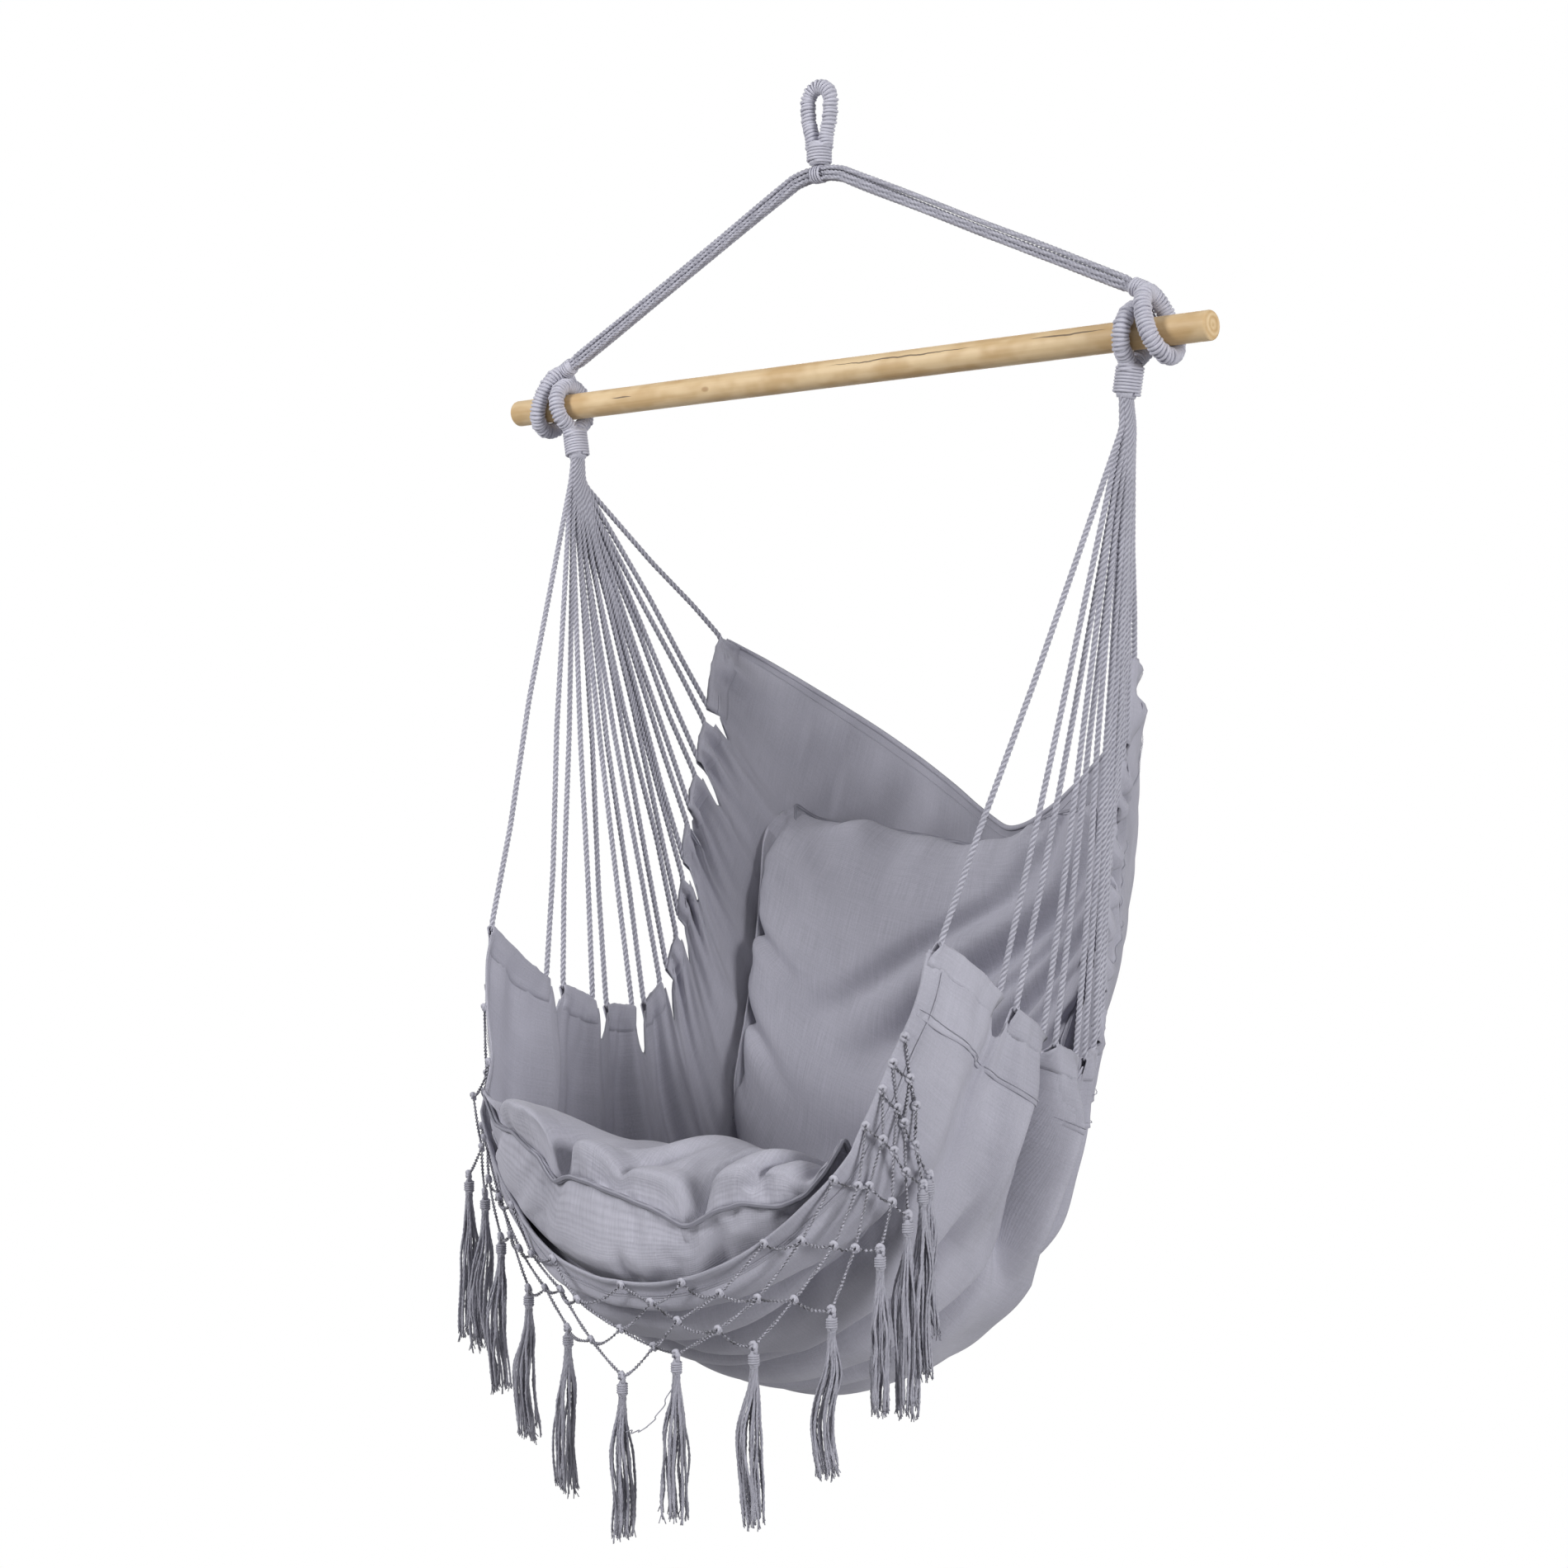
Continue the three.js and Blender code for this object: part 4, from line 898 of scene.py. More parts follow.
def folds(place, across):
    """How far the cloth stands inwards of the smooth surface, in metres."""
    size = np.abs(across)
    right = across > 0
    step, within = in_tab(place)
    first, last = (np.where(right, NOTCH_DEPTHS[1][k], NOTCH_DEPTHS[-1][k])
                   for k in (step, step - 1))
    depth = first * (1 - within) + last * within
    pleat = np.cos(2 * np.pi * within) + 0.30 * np.cos(4 * np.pi * within + step)
    inside = np.clip((size - FOLD_INNER) / (1 - FOLD_INNER), 0, 1)
    behind = smooth(place, 0.33, 0.50)
    off = depth * pleat * np.sin(np.pi * inside ** (0.8 - 0.55 * behind)) * (1 - 0.78 * behind)
    off += 0.0035 * pleat * smooth(size, 0.93, 1.0)
    off += 0.0028 * np.sin(6 * np.pi * within + 2 * step) * smooth(size, 0.78, 0.97)
    off += behind * 0.007 * np.sin(4 * np.pi * within + 3.7 * step) * smooth(size, 0.88, 1.0)
    # Under the arms' outer face one deep valley divides the first tabs on the right.
    line = place - 0.208 - 0.09 * (1 - size)
    valley = np.exp(-(line / np.where(line < 0, 0.009, 0.015)) ** 2) * right
    off += valley * FLANK_VALLEY * smooth(size, 0.56, 0.82) * (1 - 0.4 * smooth(size, 0.93, 1))
    beside = 0.8 * np.exp(-((line + 0.032) / 0.022) ** 2)
    beside = beside + 1.6 * np.exp(-((line - 0.048) / 0.026) ** 2)
    off -= beside * right * FLANK_SWELL * smooth(size, 0.30, 0.70) * smooth(1.0 - size, 0, 0.1)
    # Beside the back cushion the wall hangs in long folds.
    wall = smooth(place, 0.46, 0.56) * smooth(1 - place, 0.06, 0.2)
    long_fold = np.sin(place * 21 + 3 * size + 0.6) + 0.45 * np.sin(place * 37 - 6 * size)
    off += wall * WALL_FOLD * long_fold * smooth(size, 0.60, 0.80) * smooth(1 - size, 0, 0.12)
    # Under the front edge the slack canvas sags in creases from side to side.
    under = smooth(place, 0.012, 0.03) * smooth(0.32 - place, 0, 0.08) * smooth(0.85 - size, 0, 0.3)
    creases = 0 * place
    for at, tilt, middle, half, deep, wide in BELLY_CREASES:
        line = place - at - tilt * (across - middle) - 0.06 * (across - middle) ** 2
        steep = np.where(line < 0, wide * 0.6, wide * 1.15)
        fading = smooth(half - np.abs(across - middle), 0, 0.6 * half)
        creases = creases + deep * np.exp(-(line / steep) ** 2) * fading
    off -= under * (BELLY_DROP - creases)
    slack = ripple(place, across)
    free = smooth(size, 0.60, 0.75) + smooth(place, 0.88, 0.95) * (size <= 0.75)
    off += np.where(slack > 0, slack * free, slack) * RIPPLE
    return off


def cut_at(place, span):
    """How far a slit pulls the cloth back, as a share of the half width."""
    notch, which = near_notch(place)
    cuts = np.where(span < 0, NOTCH_CUTS[-1][which], NOTCH_CUTS[1][which])
    return NOTCH_CUT * cuts * notch


def on_face(place, across, depth=0.0):
    """Points of the folded cloth, a depth out from its inner face."""
    place, across = np.broadcast_arrays(np.asarray(place, float), np.asarray(across, float))
    inwards = sling_frame(place, across)[2]
    return sling_point(place, across) + inwards * (folds(place, across) - depth)[..., None]


def cloth(place, span, depth=0.0):
    """The same, where a span of 1 is the cloth's edge with its slits."""
    place, span = np.broadcast_arrays(np.asarray(place, float), np.asarray(span, float))
    slit = cut_at(place, span) * smooth(np.abs(span), 0.35, 1)
    return on_face(place, span * (1 - slit), depth)


CANVAS_THICKNESS = 0.0016


class Canvas:
    """Collects panels of cloth in one mesh, with the attribute weave that the finishes read."""
    def __init__(self):
        self.bm = bmesh.new()
        self.weaves = []

    def panel(self, points, weave):
        grid_of(self.bm, points)
        self.weaves.append(weave.reshape(-1, 3))

    def finish(self, name, finish, body, slot, *nodes, thickness=CANVAS_THICKNESS, offset=-1):
        mesh = bpy.data.meshes.new(name)
        self.bm.to_mesh(mesh)
        self.bm.free()
        mark(mesh, "weave", np.vstack(self.weaves))
        mesh.shade_smooth()
        made = placed(name, mesh, finish, body, slot, *nodes)
        wall = made.modifiers.new("cloth thickness", "SOLIDIFY")
        wall.thickness, wall.offset, wall.use_even_offset = thickness, offset, False
        return made


def weave_at(sideways, along, layer):
    """Places on the flat cloth. Each layer of cloth has its own part of the pattern."""
    return np.stack(np.broadcast_arrays(sideways, along, layer), axis=-1)


sampled = folds(np.linspace(0, 1, 400)[:, None], np.linspace(-1, 1, 200)[None])
print("deepest fold", round(float(sampled.max()) * 1000, 1), "mm")

# %% [markdown]
# ## The sling
# One rectangle of canvas makes the whole seat. Its grid is closer together at the gathered edges,
# where the pleats are, and Solidify gives it the thickness of cloth.
# %% Sling canvas
SLING_ROWS = [128, 153]
SLING_COLUMNS = 177
FINE_END = 0.3
CROWDING = 1.25

rows = np.union1d(np.linspace(0, FINE_END, SLING_ROWS[0]), np.linspace(FINE_END, 1, SLING_ROWS[1]))
even = np.linspace(-1, 1, SLING_COLUMNS)
columns = np.sign(even) * (1 - (1 - np.abs(even)) ** CROWDING)
rows, columns = np.meshgrid(rows, columns, indexing="ij")
sling = Canvas()
sling.panel(cloth(rows, columns), weave_at(columns * CLOTH_WIDTH / 2, rows * CLOTH_LENGTH, 0.0))
sling_piece = sling.finish("sling_cloth", canvas, "sling", "canvas", "sling_canvas")
print("sling faces:", len(sling_piece.data.polygons))

# %% [markdown]
# ## Casings and hems
# Along each gathered edge the canvas is folded outwards over the cords and sewn down, so each tab
# has a rolled crest and a band with a sewn edge on its outer face. The front and the top are
# finished the same way with a narrow hem. The bands are strips that follow the sling's own folds.
# %% Casings over the cords
CASING_DEPTH = 0.066
CASING_RADIUS = 0.0040
TAB_ROWS = 17
CASING_EDGE = 0.6
CASING_LAYER = 0.3


def edge_speed(place, side):
    """Metres of cloth for one unit of across, near the gathered edge."""
    return np.linalg.norm(sling_point(place, side * 0.99) - sling_point(place, side * 0.95),
                          axis=-1) / 0.04


def casing_roll(start, end, side):
    """The crest of one tab: the canvas goes over the cord and starts down the outer face."""
    places = np.linspace(start, end, TAB_ROWS)
    cord = crest(places, side)
    _, outwards, inwards = sling_frame(places, np.full(places.shape, float(side)))
    outwards = outwards * side
    speed = edge_speed(places, side)

    def on_cloth(distance, depth):
        return cloth(places, side * (1 - distance / speed), depth)

    profile = [on_cloth(0.020, 0.0014), on_cloth(0.013, 0.0008), on_cloth(0.008, -0.0002)]
    lumps = np.sin(places * 190 + side) + 0.7 * np.sin(places * 431 + 2 * side)
    radius = CASING_RADIUS * (1 + 0.16 * np.maximum(lumps, -0.4))[:, None]
    for turn in np.radians([68, 45, 22, 0, -22, -45, -68]):
        profile.append(cord + radius * (math.sin(turn) * inwards + math.cos(turn) * outwards))
    profile += [on_cloth(0.007, 0.0034), on_cloth(0.012, 0.0024), on_cloth(0.017, 0.0012)]
    points = np.stack(profile, axis=1)
    run = distances(points[TAB_ROWS // 2])
    weave = weave_at(side * CASING_EDGE + run, (places * CLOTH_LENGTH)[:, None], CASING_LAYER)
    if side < 0:
        points, weave = points[:, ::-1], weave[:, ::-1]
    return points, weave


def casing_band(side):
    """The band that is sewn to the outer face. Its edge runs straight on past the slits."""
    places = np.linspace(0.003, 0.997, 300)[:, None]
    speed = edge_speed(places, side)
    depths = np.array([0.008, 0.016, 0.025, 0.033, 0.041, 0.049, 0.056, CASING_DEPTH - 0.003,
                       CASING_DEPTH, CASING_DEPTH + 0.0009])
    wander = 0.0022 * np.sin(places * 31 + 2 * np.sin(places * 17))
    inset = (depths[None] + wander * (depths[None] / CASING_DEPTH) ** 2) / speed
    slits = cut_at(places, np.full(places.shape, float(side)))
    inset = np.maximum(inset, slits + 0.0006 * np.arange(1, len(depths) + 1)[None])
    pucker = 0.0007 * np.sin(places * 330 + 3 * np.sin(places * 61))
    stand = np.array([0.0031] * 2 + [0.0028] * 4 + [0.0026, 0.0032, 0.0038, 0.0020])[None]
    stand = stand + pucker * smooth(depths[None], 0.045, CASING_DEPTH)
    places, spans = np.broadcast_arrays(places, side * (1 - inset))
    points = on_face(places, spans, stand)
    weave = weave_at(side * CASING_EDGE + depths[None], places * CLOTH_LENGTH, CASING_LAYER)
    if side < 0:
        return points, weave
    return points[:, ::-1], weave[:, ::-1]


STITCH = 0.0034
STITCH_RISE = 0.0005
SEWING_THREAD = 0.0008
SEAM_INSET = 0.006


def stitched(yarn, at, total):
    """A thread that dives in and out of the cloth. At gives points and how they face."""
    share = np.linspace(0, 1, int(total / STITCH * 4))
    points, facing = at(share)
    wave = np.sin(share * total / STITCH * 2 * np.pi)
    yarn.tube(points + facing * (wave * STITCH_RISE)[:, None], SEWING_THREAD, 4, 0)


for hand, side in SIDES.items():
    casing, seams = Canvas(), Yarn()
    for start, end in TABS:
        casing.panel(*casing_roll(start - 0.002, end + 0.002, side))
    casing.panel(*casing_band(side))

    def along(share):
        places = 0.004 + 0.992 * share
        span = side * (1 - (CASING_DEPTH - SEAM_INSET) / edge_speed(places, side))
        return on_face(places, span, 0.0046), -sling_frame(places, span)[2]
    stitched(seams, along, CLOTH_LENGTH)
    piece = casing.finish(f"casing_{hand}", canvas, "sling", "canvas", f"side_casing_{hand}",
                          thickness=0.0014, offset=1)
    seams.finish(f"casing_stitches_{hand}", thread, "sling", "canvas")
print("casings", CASING_DEPTH * 1000, "mm deep")

# %% Front and top hems
HEM_DEPTH = 0.024
HEM_SPANS = np.linspace(-0.992, 0.992, 150)
HEM_FOLD = 0.040
HEM_LAYER = 0.7
HEM_SEAM = (HEM_DEPTH - 0.004) / CLOTH_LENGTH


def hem_panel(at_front):
    """The strip that is folded over an edge of the cloth, from its inner face to its outer."""
    sign = 1 if at_front else -1

    def on_cloth(distance, depth):
        return cloth((0 if at_front else 1) + sign * distance / CLOTH_LENGTH, HEM_SPANS, depth)

    edge = on_cloth(0.0, 0.0)
    forward = unit(edge - on_cloth(0.012, 0.0))
    profile = [on_cloth(0.008, -0.0005), on_cloth(0.003, -0.0008),
               edge + forward * 0.0014, on_cloth(0.0, 0.0014) + forward * 0.0024,
               on_cloth(0.0, 0.0030) + forward * 0.0014, on_cloth(0.004, 0.0034)]
    profile += [on_cloth(d, 0.0030) for d in (0.009, 0.014, 0.019, HEM_DEPTH - 0.001)]
    profile += [on_cloth(HEM_DEPTH, 0.0027), on_cloth(HEM_DEPTH + 0.0006, 0.0018)]
    points = np.stack(profile, axis=0)
    run = np.linspace(0, HEM_FOLD, len(profile))
    weave = weave_at(HEM_SPANS * CLOTH_WIDTH / 2, run[:, None], HEM_LAYER)
    return (points, weave) if at_front else (points[::-1], weave[::-1])


for name, at_front in (("front", True), ("top", False)):
    hem, seams = Canvas(), Yarn()
    hem.panel(*hem_panel(at_front))
    for depth, facing_sign in ((0.0044, -1), (-0.0002, 1)):
        def along(share, depth=depth, facing_sign=facing_sign):
            spans = -0.97 + 1.94 * share
            places = np.full(share.shape, HEM_SEAM if at_front else 1 - HEM_SEAM)
            return cloth(places, spans, depth), facing_sign * sling_frame(places, spans)[2]
        stitched(seams, along, CLOTH_WIDTH)
    piece = hem.finish(f"{name}_hem_fold", canvas, "sling", "canvas", f"{name}_hem",
                       thickness=0.0012, offset=1)
    edge = cloth(0.0 if at_front else 1.0, HEM_SPANS)
    seams.finish(f"{name}_hem_stitches", thread, "sling", "canvas")
print("hems", HEM_DEPTH * 1000, "mm deep")

# %% [markdown]
# ## Cushions
# Both cushions are loose pillows: two square panels that are sewn round the rim and stuffed. Each
# is shaped from the CAD cushion's own formula, so that it sits where its solid does, with a finer
# grid and the pulls of its seam. A short cloth simulation with air pressure inside then rounds it
# and wrinkles it. The rim is pinned, and no point may move further than a cap. Points that would
# lie in the sling's folds are pushed back off them, before the simulation and after it.
# %% The form of a stuffed pillow
CROWN = 2.6
SEAM_HALF = 0.002
PILLOW_STEPS = 92
SKIN_GAP = 0.0012
SKIN_REACH = 0.03
FOREMOST = 0.006


def overhang(t):
    """How a stuffed panel swells out past its rim: most a little way in from it."""
    return np.sign(t) * np.sin(np.pi * np.clip((1 - np.abs(t)) / 0.26, 0, 1) ** 0.6)


skin = BVHTree.FromPolygons([v.co for v in sling_piece.data.vertices],
                            [tuple(p.vertices) for p in sling_piece.data.polygons])


def cleared(points, gap=SKIN_GAP):
    """The same points, pushed off the sling's inner face where they come nearer than a gap. Points
    that are further from the cloth than the reach are left as they are."""
    moved = points.reshape(-1, 3).copy()
    for i, point in enumerate(moved):
        at, facing, _, distance = skin.find_nearest(Vector(point))
        short = gap - (Vector(point) - at).dot(facing)
        if short > 0 and distance < SKIN_REACH:
            moved[i] += np.array(facing) * short
    return moved.reshape(points.shape)


def pillow(along, across, stack, rise, perch, bridge, thick, seated, seam_lift, dents, shift, puff,
           belly=lambda a, b: 0 * a, bow=0.0, spread=0.0):
    """Two grids of points, under and over, with the same rim. Shift moves the whole along the
    cloth. Belly moves the lower panel forward, and the rim's front with it. Puff says how far the
    upper panel hangs over its rim at the sides and the ends."""
    steps = np.sin(np.linspace(-math.pi / 2, math.pi / 2, PILLOW_STEPS))
    a, b = np.meshgrid(steps, steps, indexing="ij")
    far = (1 + a) / 2
    place = along[0] + (along[1] - along[0]) * far + bow * far * (1 - b * b) + shift(a, b)
    span = (across[0] + (across[1] - across[0]) * (b + 1) / 2) * (1 + spread * far)
    full = np.sqrt((1 - np.abs(a) ** CROWN) * (1 - np.abs(b) ** CROWN))
    stack = unit(np.array(stack))
    inwards = sling_frame(place, span)[2]
    slope = np.maximum((inwards * stack).sum(-1), 1 / CROWN)
    clearance = 0.0005 + 0.0003 / slope
    lifted = rise * (np.abs(a) ** CROWN if seated else 1 - full)
    raised = seam_lift(a, b)
    steep = np.where(a < 0, 9 + 24 * smooth(-b, -0.5, 0.2), CROWN)
    tucked = rise * (np.abs(a) ** steep if seated else 1 - full)
    under = clearance + perch + bridge * (1 - a * a) * (1 - b * b) + tucked
    under = under + raised * np.abs(a) ** (steep if seated else 6)
    top = clearance + perch + bridge * (1 - a * a) * (1 - b * b) + lifted + raised * (1 - full)
    over = top + SEAM_HALF + thick * full - dents(a, b) * full ** 0.4
    rim = full < 1e-6
    under, over = np.where(rim, top + SEAM_HALF, under), np.where(rim, top + SEAM_HALF, over)
    lean = belly(a, b)
    leaned_rim = np.maximum(place - lean * smooth(-a, 0.86, 1.0), FOREMOST)
    base = sling_point(leaned_rim, span)
    lower = sling_point(np.where(rim, leaned_rim, np.maximum(place - lean, FOREMOST)), span)
    weave = weave_at(b * (across[1] - across[0]) / 4 * CLOTH_WIDTH,
                     a * (along[1] - along[0]) / 2 * CLOTH_LENGTH, 0.0)
    back, outwards, _ = sling_frame(place, span)
    sides, ends = puff(a, b)
    swell = outwards * (overhang(b) * sides * (1 - a ** 8))[..., None]
    swell = swell + back * (overhang(a) * ends * (1 - b ** 8))[..., None]
    return (cleared(lower + under[..., None] * stack),
            cleared(base + over[..., None] * stack + swell), weave)


PRESSURE = 4.0
STUFFING_FRAMES = 20
UNDER_PATTERN = (1.7, 0, 0)


def stuffed(name, form, cap, body, node):
    """Sews the two panels and lets a simulation stuff them. Gives the rim of the seam back."""
    under, over, weave = form
    bm = bmesh.new()
    lower = grid_of(bm, under)
    bmesh.ops.reverse_faces(bm, faces=bm.faces)
    upper = grid_of(bm, over)
    grid = np.arange(PILLOW_STEPS ** 2).reshape(PILLOW_STEPS, PILLOW_STEPS)
    rim = np.concatenate([grid[0], grid[1:, -1], grid[-1, -2::-1], grid[-2:0:-1, 0]])
    bmesh.ops.weld_verts(bm, targetmap={lower[i]: upper[i] for i in rim})
    kept = np.setdiff1d(np.arange(PILLOW_STEPS ** 2), rim)
    mesh = bpy.data.meshes.new(name)
    bm.to_mesh(mesh)
    bm.free()
    mark(mesh, "weave", np.vstack([weave.reshape(-1, 3)[kept] + UNDER_PATTERN,
                                   weave.reshape(-1, 3)]))
    mesh.shade_smooth()
    piece = placed(name, mesh, cover, body, "cushion_cover", node)
    start = np.vstack([under.reshape(-1, 3)[kept], over.reshape(-1, 3)])
    moved = inflated(piece, len(kept) + rim)
    change = moved - start
    far = np.linalg.norm(change, axis=1, keepdims=True)
    change *= np.minimum(1, cap / np.maximum(far, 1e-9))
    points = cleared(start + change)
    mesh.vertices.foreach_set("co", points.astype(np.float32).ravel())
    mesh.update()
    print(name, "moved", round(float(far.max()) * 1000, 1), "mm, mean",
          round(float(far.mean()) * 1000, 1))
    finer = piece.modifiers.new("finer", "SUBSURF")
    finer.levels = finer.render_levels = 1
    return over.reshape(-1, 3)[rim]


def inflated(piece, pinned):
    """The points of a closed cover after some frames of air pressure with its rim held."""
    group = piece.vertex_groups.new(name="seam")
    group.add([int(i) for i in pinned], 1.0, "REPLACE")
    modifier = piece.modifiers.new("stuffing", "CLOTH")
    cloth_settings = modifier.settings
    cloth_settings.quality = 6
    cloth_settings.mass = 0.25
    cloth_settings.air_damping = 3
    cloth_settings.tension_stiffness = cloth_settings.compression_stiffness = 12
    cloth_settings.shear_stiffness = 6
    cloth_settings.bending_stiffness = 0.3
    cloth_settings.use_pressure = True
    cloth_settings.uniform_pressure_force = PRESSURE
    cloth_settings.vertex_group_mass = "seam"
    cloth_settings.shrink_min = -0.07
    cloth_settings.effector_weights.gravity = 0
    modifier.point_cache.frame_start, modifier.point_cache.frame_end = 1, STUFFING_FRAMES
    for frame_number in range(1, STUFFING_FRAMES + 1):
        bpy.context.scene.frame_set(frame_number)
    seen = piece.evaluated_get(bpy.context.evaluated_depsgraph_get())
    points = np.empty(len(seen.data.vertices) * 3)
    seen.data.vertices.foreach_get("co", points)
    piece.modifiers.remove(modifier)
    piece.vertex_groups.remove(group)
    bpy.context.scene.frame_set(1)
    return points.reshape(-1, 3)


print("pillow grid", PILLOW_STEPS, "by", PILLOW_STEPS)

# %% [markdown]
# The seat cushion is too wide for the trough that it lies in, so its front seam buckles, and valleys
# run back from it. A row of valleys has its place on the seam, slope, width, depth and reach. The
# back cushion leans on the cloth and slumps, with folds drawn from its upper right corner. A row of
# these has its place, width, depth and where it fades. A pucker has its place on the left seam and
# its width.
# %% Seat and back cushions
SEAM_RISE_AT = [-1, -0.83, -0.64, -0.45, -0.36, -0.27, -0.16, 0.0, 0.14, 0.27, 0.40, 0.52, 0.68,
                0.80, 0.9, 1]
SEAM_RISE = [0.000, 0.002, 0.034, 0.040, 0.026, 0.044, 0.048, 0.045, 0.036, 0.016, 0.026, 0.022,
             -0.004, -0.014, -0.010, 0]


def seat_seam(a, b):
    return np.interp(b, SEAM_RISE_AT, SEAM_RISE) * smooth(-a, 0.25, 1.0)


def valley(a, b, start, slope, width, depth, reach):
    """A crease that runs back from the front seam, at a slope, and fades."""
    back = a + 1
    line = (b - start - slope * back) / (width * (1 + 0.8 * back))
    return depth * np.exp(-line ** 2) * (1 - smooth(back, 0.05, reach))


SEAT_VALLEYS = [
    (-0.36, 0.55, 0.050, 0.078, 0.85), (0.27, 0.75, 0.050, 0.080, 0.9),
    (0.80, 0.10, 0.060, 0.026, 0.7), (-0.80, 0.5, 0.05, 0.034, 0.7),
    (0.55, 0.55, 0.035, 0.022, 0.8), (-0.05, 0.5, 0.035, 0.020, 0.6),
    (-0.22, 0.60, 0.080, -0.012, 0.9),
]


def seat_dents(a, b):
    """The valleys behind the buckled seam, and the slack of the upper panel."""
    total = sum(valley(a, b, *row) for row in SEAT_VALLEYS)
    total += 0.022 * smooth(b, 0.35, 0.9) + 0.010 * smooth(-b, 0.4, 0.9)
    total += 0.010 * (1 + np.sin(5.2 * a + 3.1 * b + 1.2 * np.sin(3 * b)))
    return total + 0.004 * np.sin(11 * b + 4 * a + 2 * np.sin(5 * a))


def seat_shift(a, b):
    return -0.010 * smooth(-b, -0.3, 0.7) * smooth(-a, 0.3, 1.0)


def seat_puff(a, b):
    return 0.008 + 0 * a, 0.008 + (0.003 * np.sin(9 * b) - 0.004) * (a < 0)


def seat_belly(a, b):
    """The front panel leans on the front hem, most on the left."""
    return (0.014 + 0.030 * smooth(-b, -0.5, 0.3)) * np.exp(-((a + 0.92) / 0.09) ** 2)


def back_seam(a, b):
    """The seam lies further back along the left and the top, where the panel hangs over it."""
    hidden = 0.030 * smooth(-b, 0.5, 1.0) + 0.026 * smooth(a, 0.55, 1.0) * smooth(0.6 - b, 0, 0.5)
    return 0.030 * smooth(a, 0.4, 1.0) * smooth(b, -0.6, 0.4) - hidden


DRAWN_FOLDS = [(-0.62, 0.050, 0.018, -0.6), (-0.28, 0.075, 0.038, -0.5), (0.02, 0.045, 0.020, -0.2),
               (0.30, 0.085, 0.036, -0.8), (0.64, 0.075, 0.022, -0.9), (1.05, 0.090, 0.028, -1.2)]
PUCKERS = [(0.14, 0.045), (-0.36, 0.065)]


def back_dents(a, b):
    """Folds drawn from the upper right towards the lower left, and the pulls of the left seam."""
    slope = 0.90 * b - 1.20 * a + 0.10 * np.sin(3 * a + 2 * b)
    fold = 0 * a
    for at, wide, deep, fade in DRAWN_FOLDS:
        line = (slope - at) / np.where(slope < at, wide, 1.9 * wide)
        fold = fold + deep * np.exp(-line ** 2) * smooth(a + 0.5 * b, fade, fade + 0.9)
    fold += 0.024 * smooth(-a, 0.1, 0.8) * smooth(b, -0.9, 0.2)
    fold += 0.016 * np.exp(-((a + 0.45 - 0.25 * b) / 0.16) ** 2) * smooth(-b, -0.6, 0.3)
    for at, wide in PUCKERS:
        near = np.exp(-((a - at + 0.25 * (b + 1)) / (wide * (1 + b + 1))) ** 2)
        fold += 0.018 * near * smooth(-b, 0.35, 0.95)
    corner = np.exp(-((a - 0.9) ** 2 + (b + 0.9) ** 2) / 0.10)
    fold += 0.008 * corner * (1 + np.sin(16 * (a + b)))
    return fold + 0.004 * (1 + np.sin(4.4 * a - 5.1 * b + 1.5 * np.sin(3 * a)))


def back_shift(a, b):
    """The left corner has slid down and the right one is pushed up."""
    return (0.004 + 0.012 * b) * (1 + a) / 2


def back_puff(a, b):
    sides = 0.016 + 0.003 * np.sin(3 * a + 1)
    for at, wide in PUCKERS:
        sides = sides - 0.013 * np.exp(-((a - at) / wide) ** 2) * (b < 0)
    return sides, 0.016 + 0.004 * np.sin(8 * b) + 0.003 * np.sin(19 * b)


seat_form = pillow(
    along=[0.04, 0.385], across=[-0.565, 0.56], stack=[0, -0.1, 0.995], rise=0.045, perch=0.005,
    bridge=0.055, thick=0.168, seated=True, seam_lift=seat_seam, dents=seat_dents,
    shift=seat_shift, puff=seat_puff, belly=seat_belly)
back_form = pillow(
    along=[0.49, 0.885], across=[-0.64, 0.55], stack=[0, -0.86, 0.5], rise=0.050, perch=0.0025,
    bridge=0.0, thick=0.104, seated=False, seam_lift=back_seam, dents=back_dents,
    shift=back_shift, puff=back_puff, bow=0.06, spread=0.14)
seat_rim = stuffed("seat_pillow", seat_form, 0.008, "seat_pad", "seat_cushion")
back_rim = stuffed("back_pillow", back_form, 0.006, "back_pad", "back_cushion")
print("rims:", len(seat_rim), "and", len(back_rim), "points")

# %% [markdown]
# The two panels are sewn together round the rim. Two narrow folds of cover stand out there side by
# side, and they are rolled as tubes that don't twist. Their cotton is painted darker than the
# cover, as painted shade along the seam.
# %% Seams
SEAM_BEND = 0.012
UNTWISTED = 1000.0
SEAM_WIDTHS = {"seat": 0.0062, "back": 0.0036}

# The seam's colour is darker than the cover's: painted shade along the seam.
seam_painted_shade_cotton = cord_material("seam_cotton_painted_shade", (0.215, 0.213, 0.256), (0.335, 0.332, 0.390))
for name, rim in (("seat", seat_rim), ("back", back_rim)):
    line = rounded(np.vstack([rim, rim[:3]]), SEAM_BEND)
    ahead = unit(np.gradient(line, axis=0))
    outwards = line - rim.mean(axis=0)
    outwards = unit(outwards - ahead * (outwards * ahead).sum(-1, keepdims=True))
    seam = Yarn()
    wide = SEAM_WIDTHS[name]
    for out, thick in ((0.33, wide), (0.85, 0.7 * wide)):
        edge = resampled(cleared(line + outwards * wide * out, wide / 2), 0.003)[0]
        seam.tube(edge, thick, 14, 2, UNTWISTED)
    seam.finish(f"{name}_pillow_seam", seam_painted_shade_cotton, f"{name}_pad", "cushion_cover")
print("seam folds, mm:", {name: wide * 1000 for name, wide in SEAM_WIDTHS.items()})

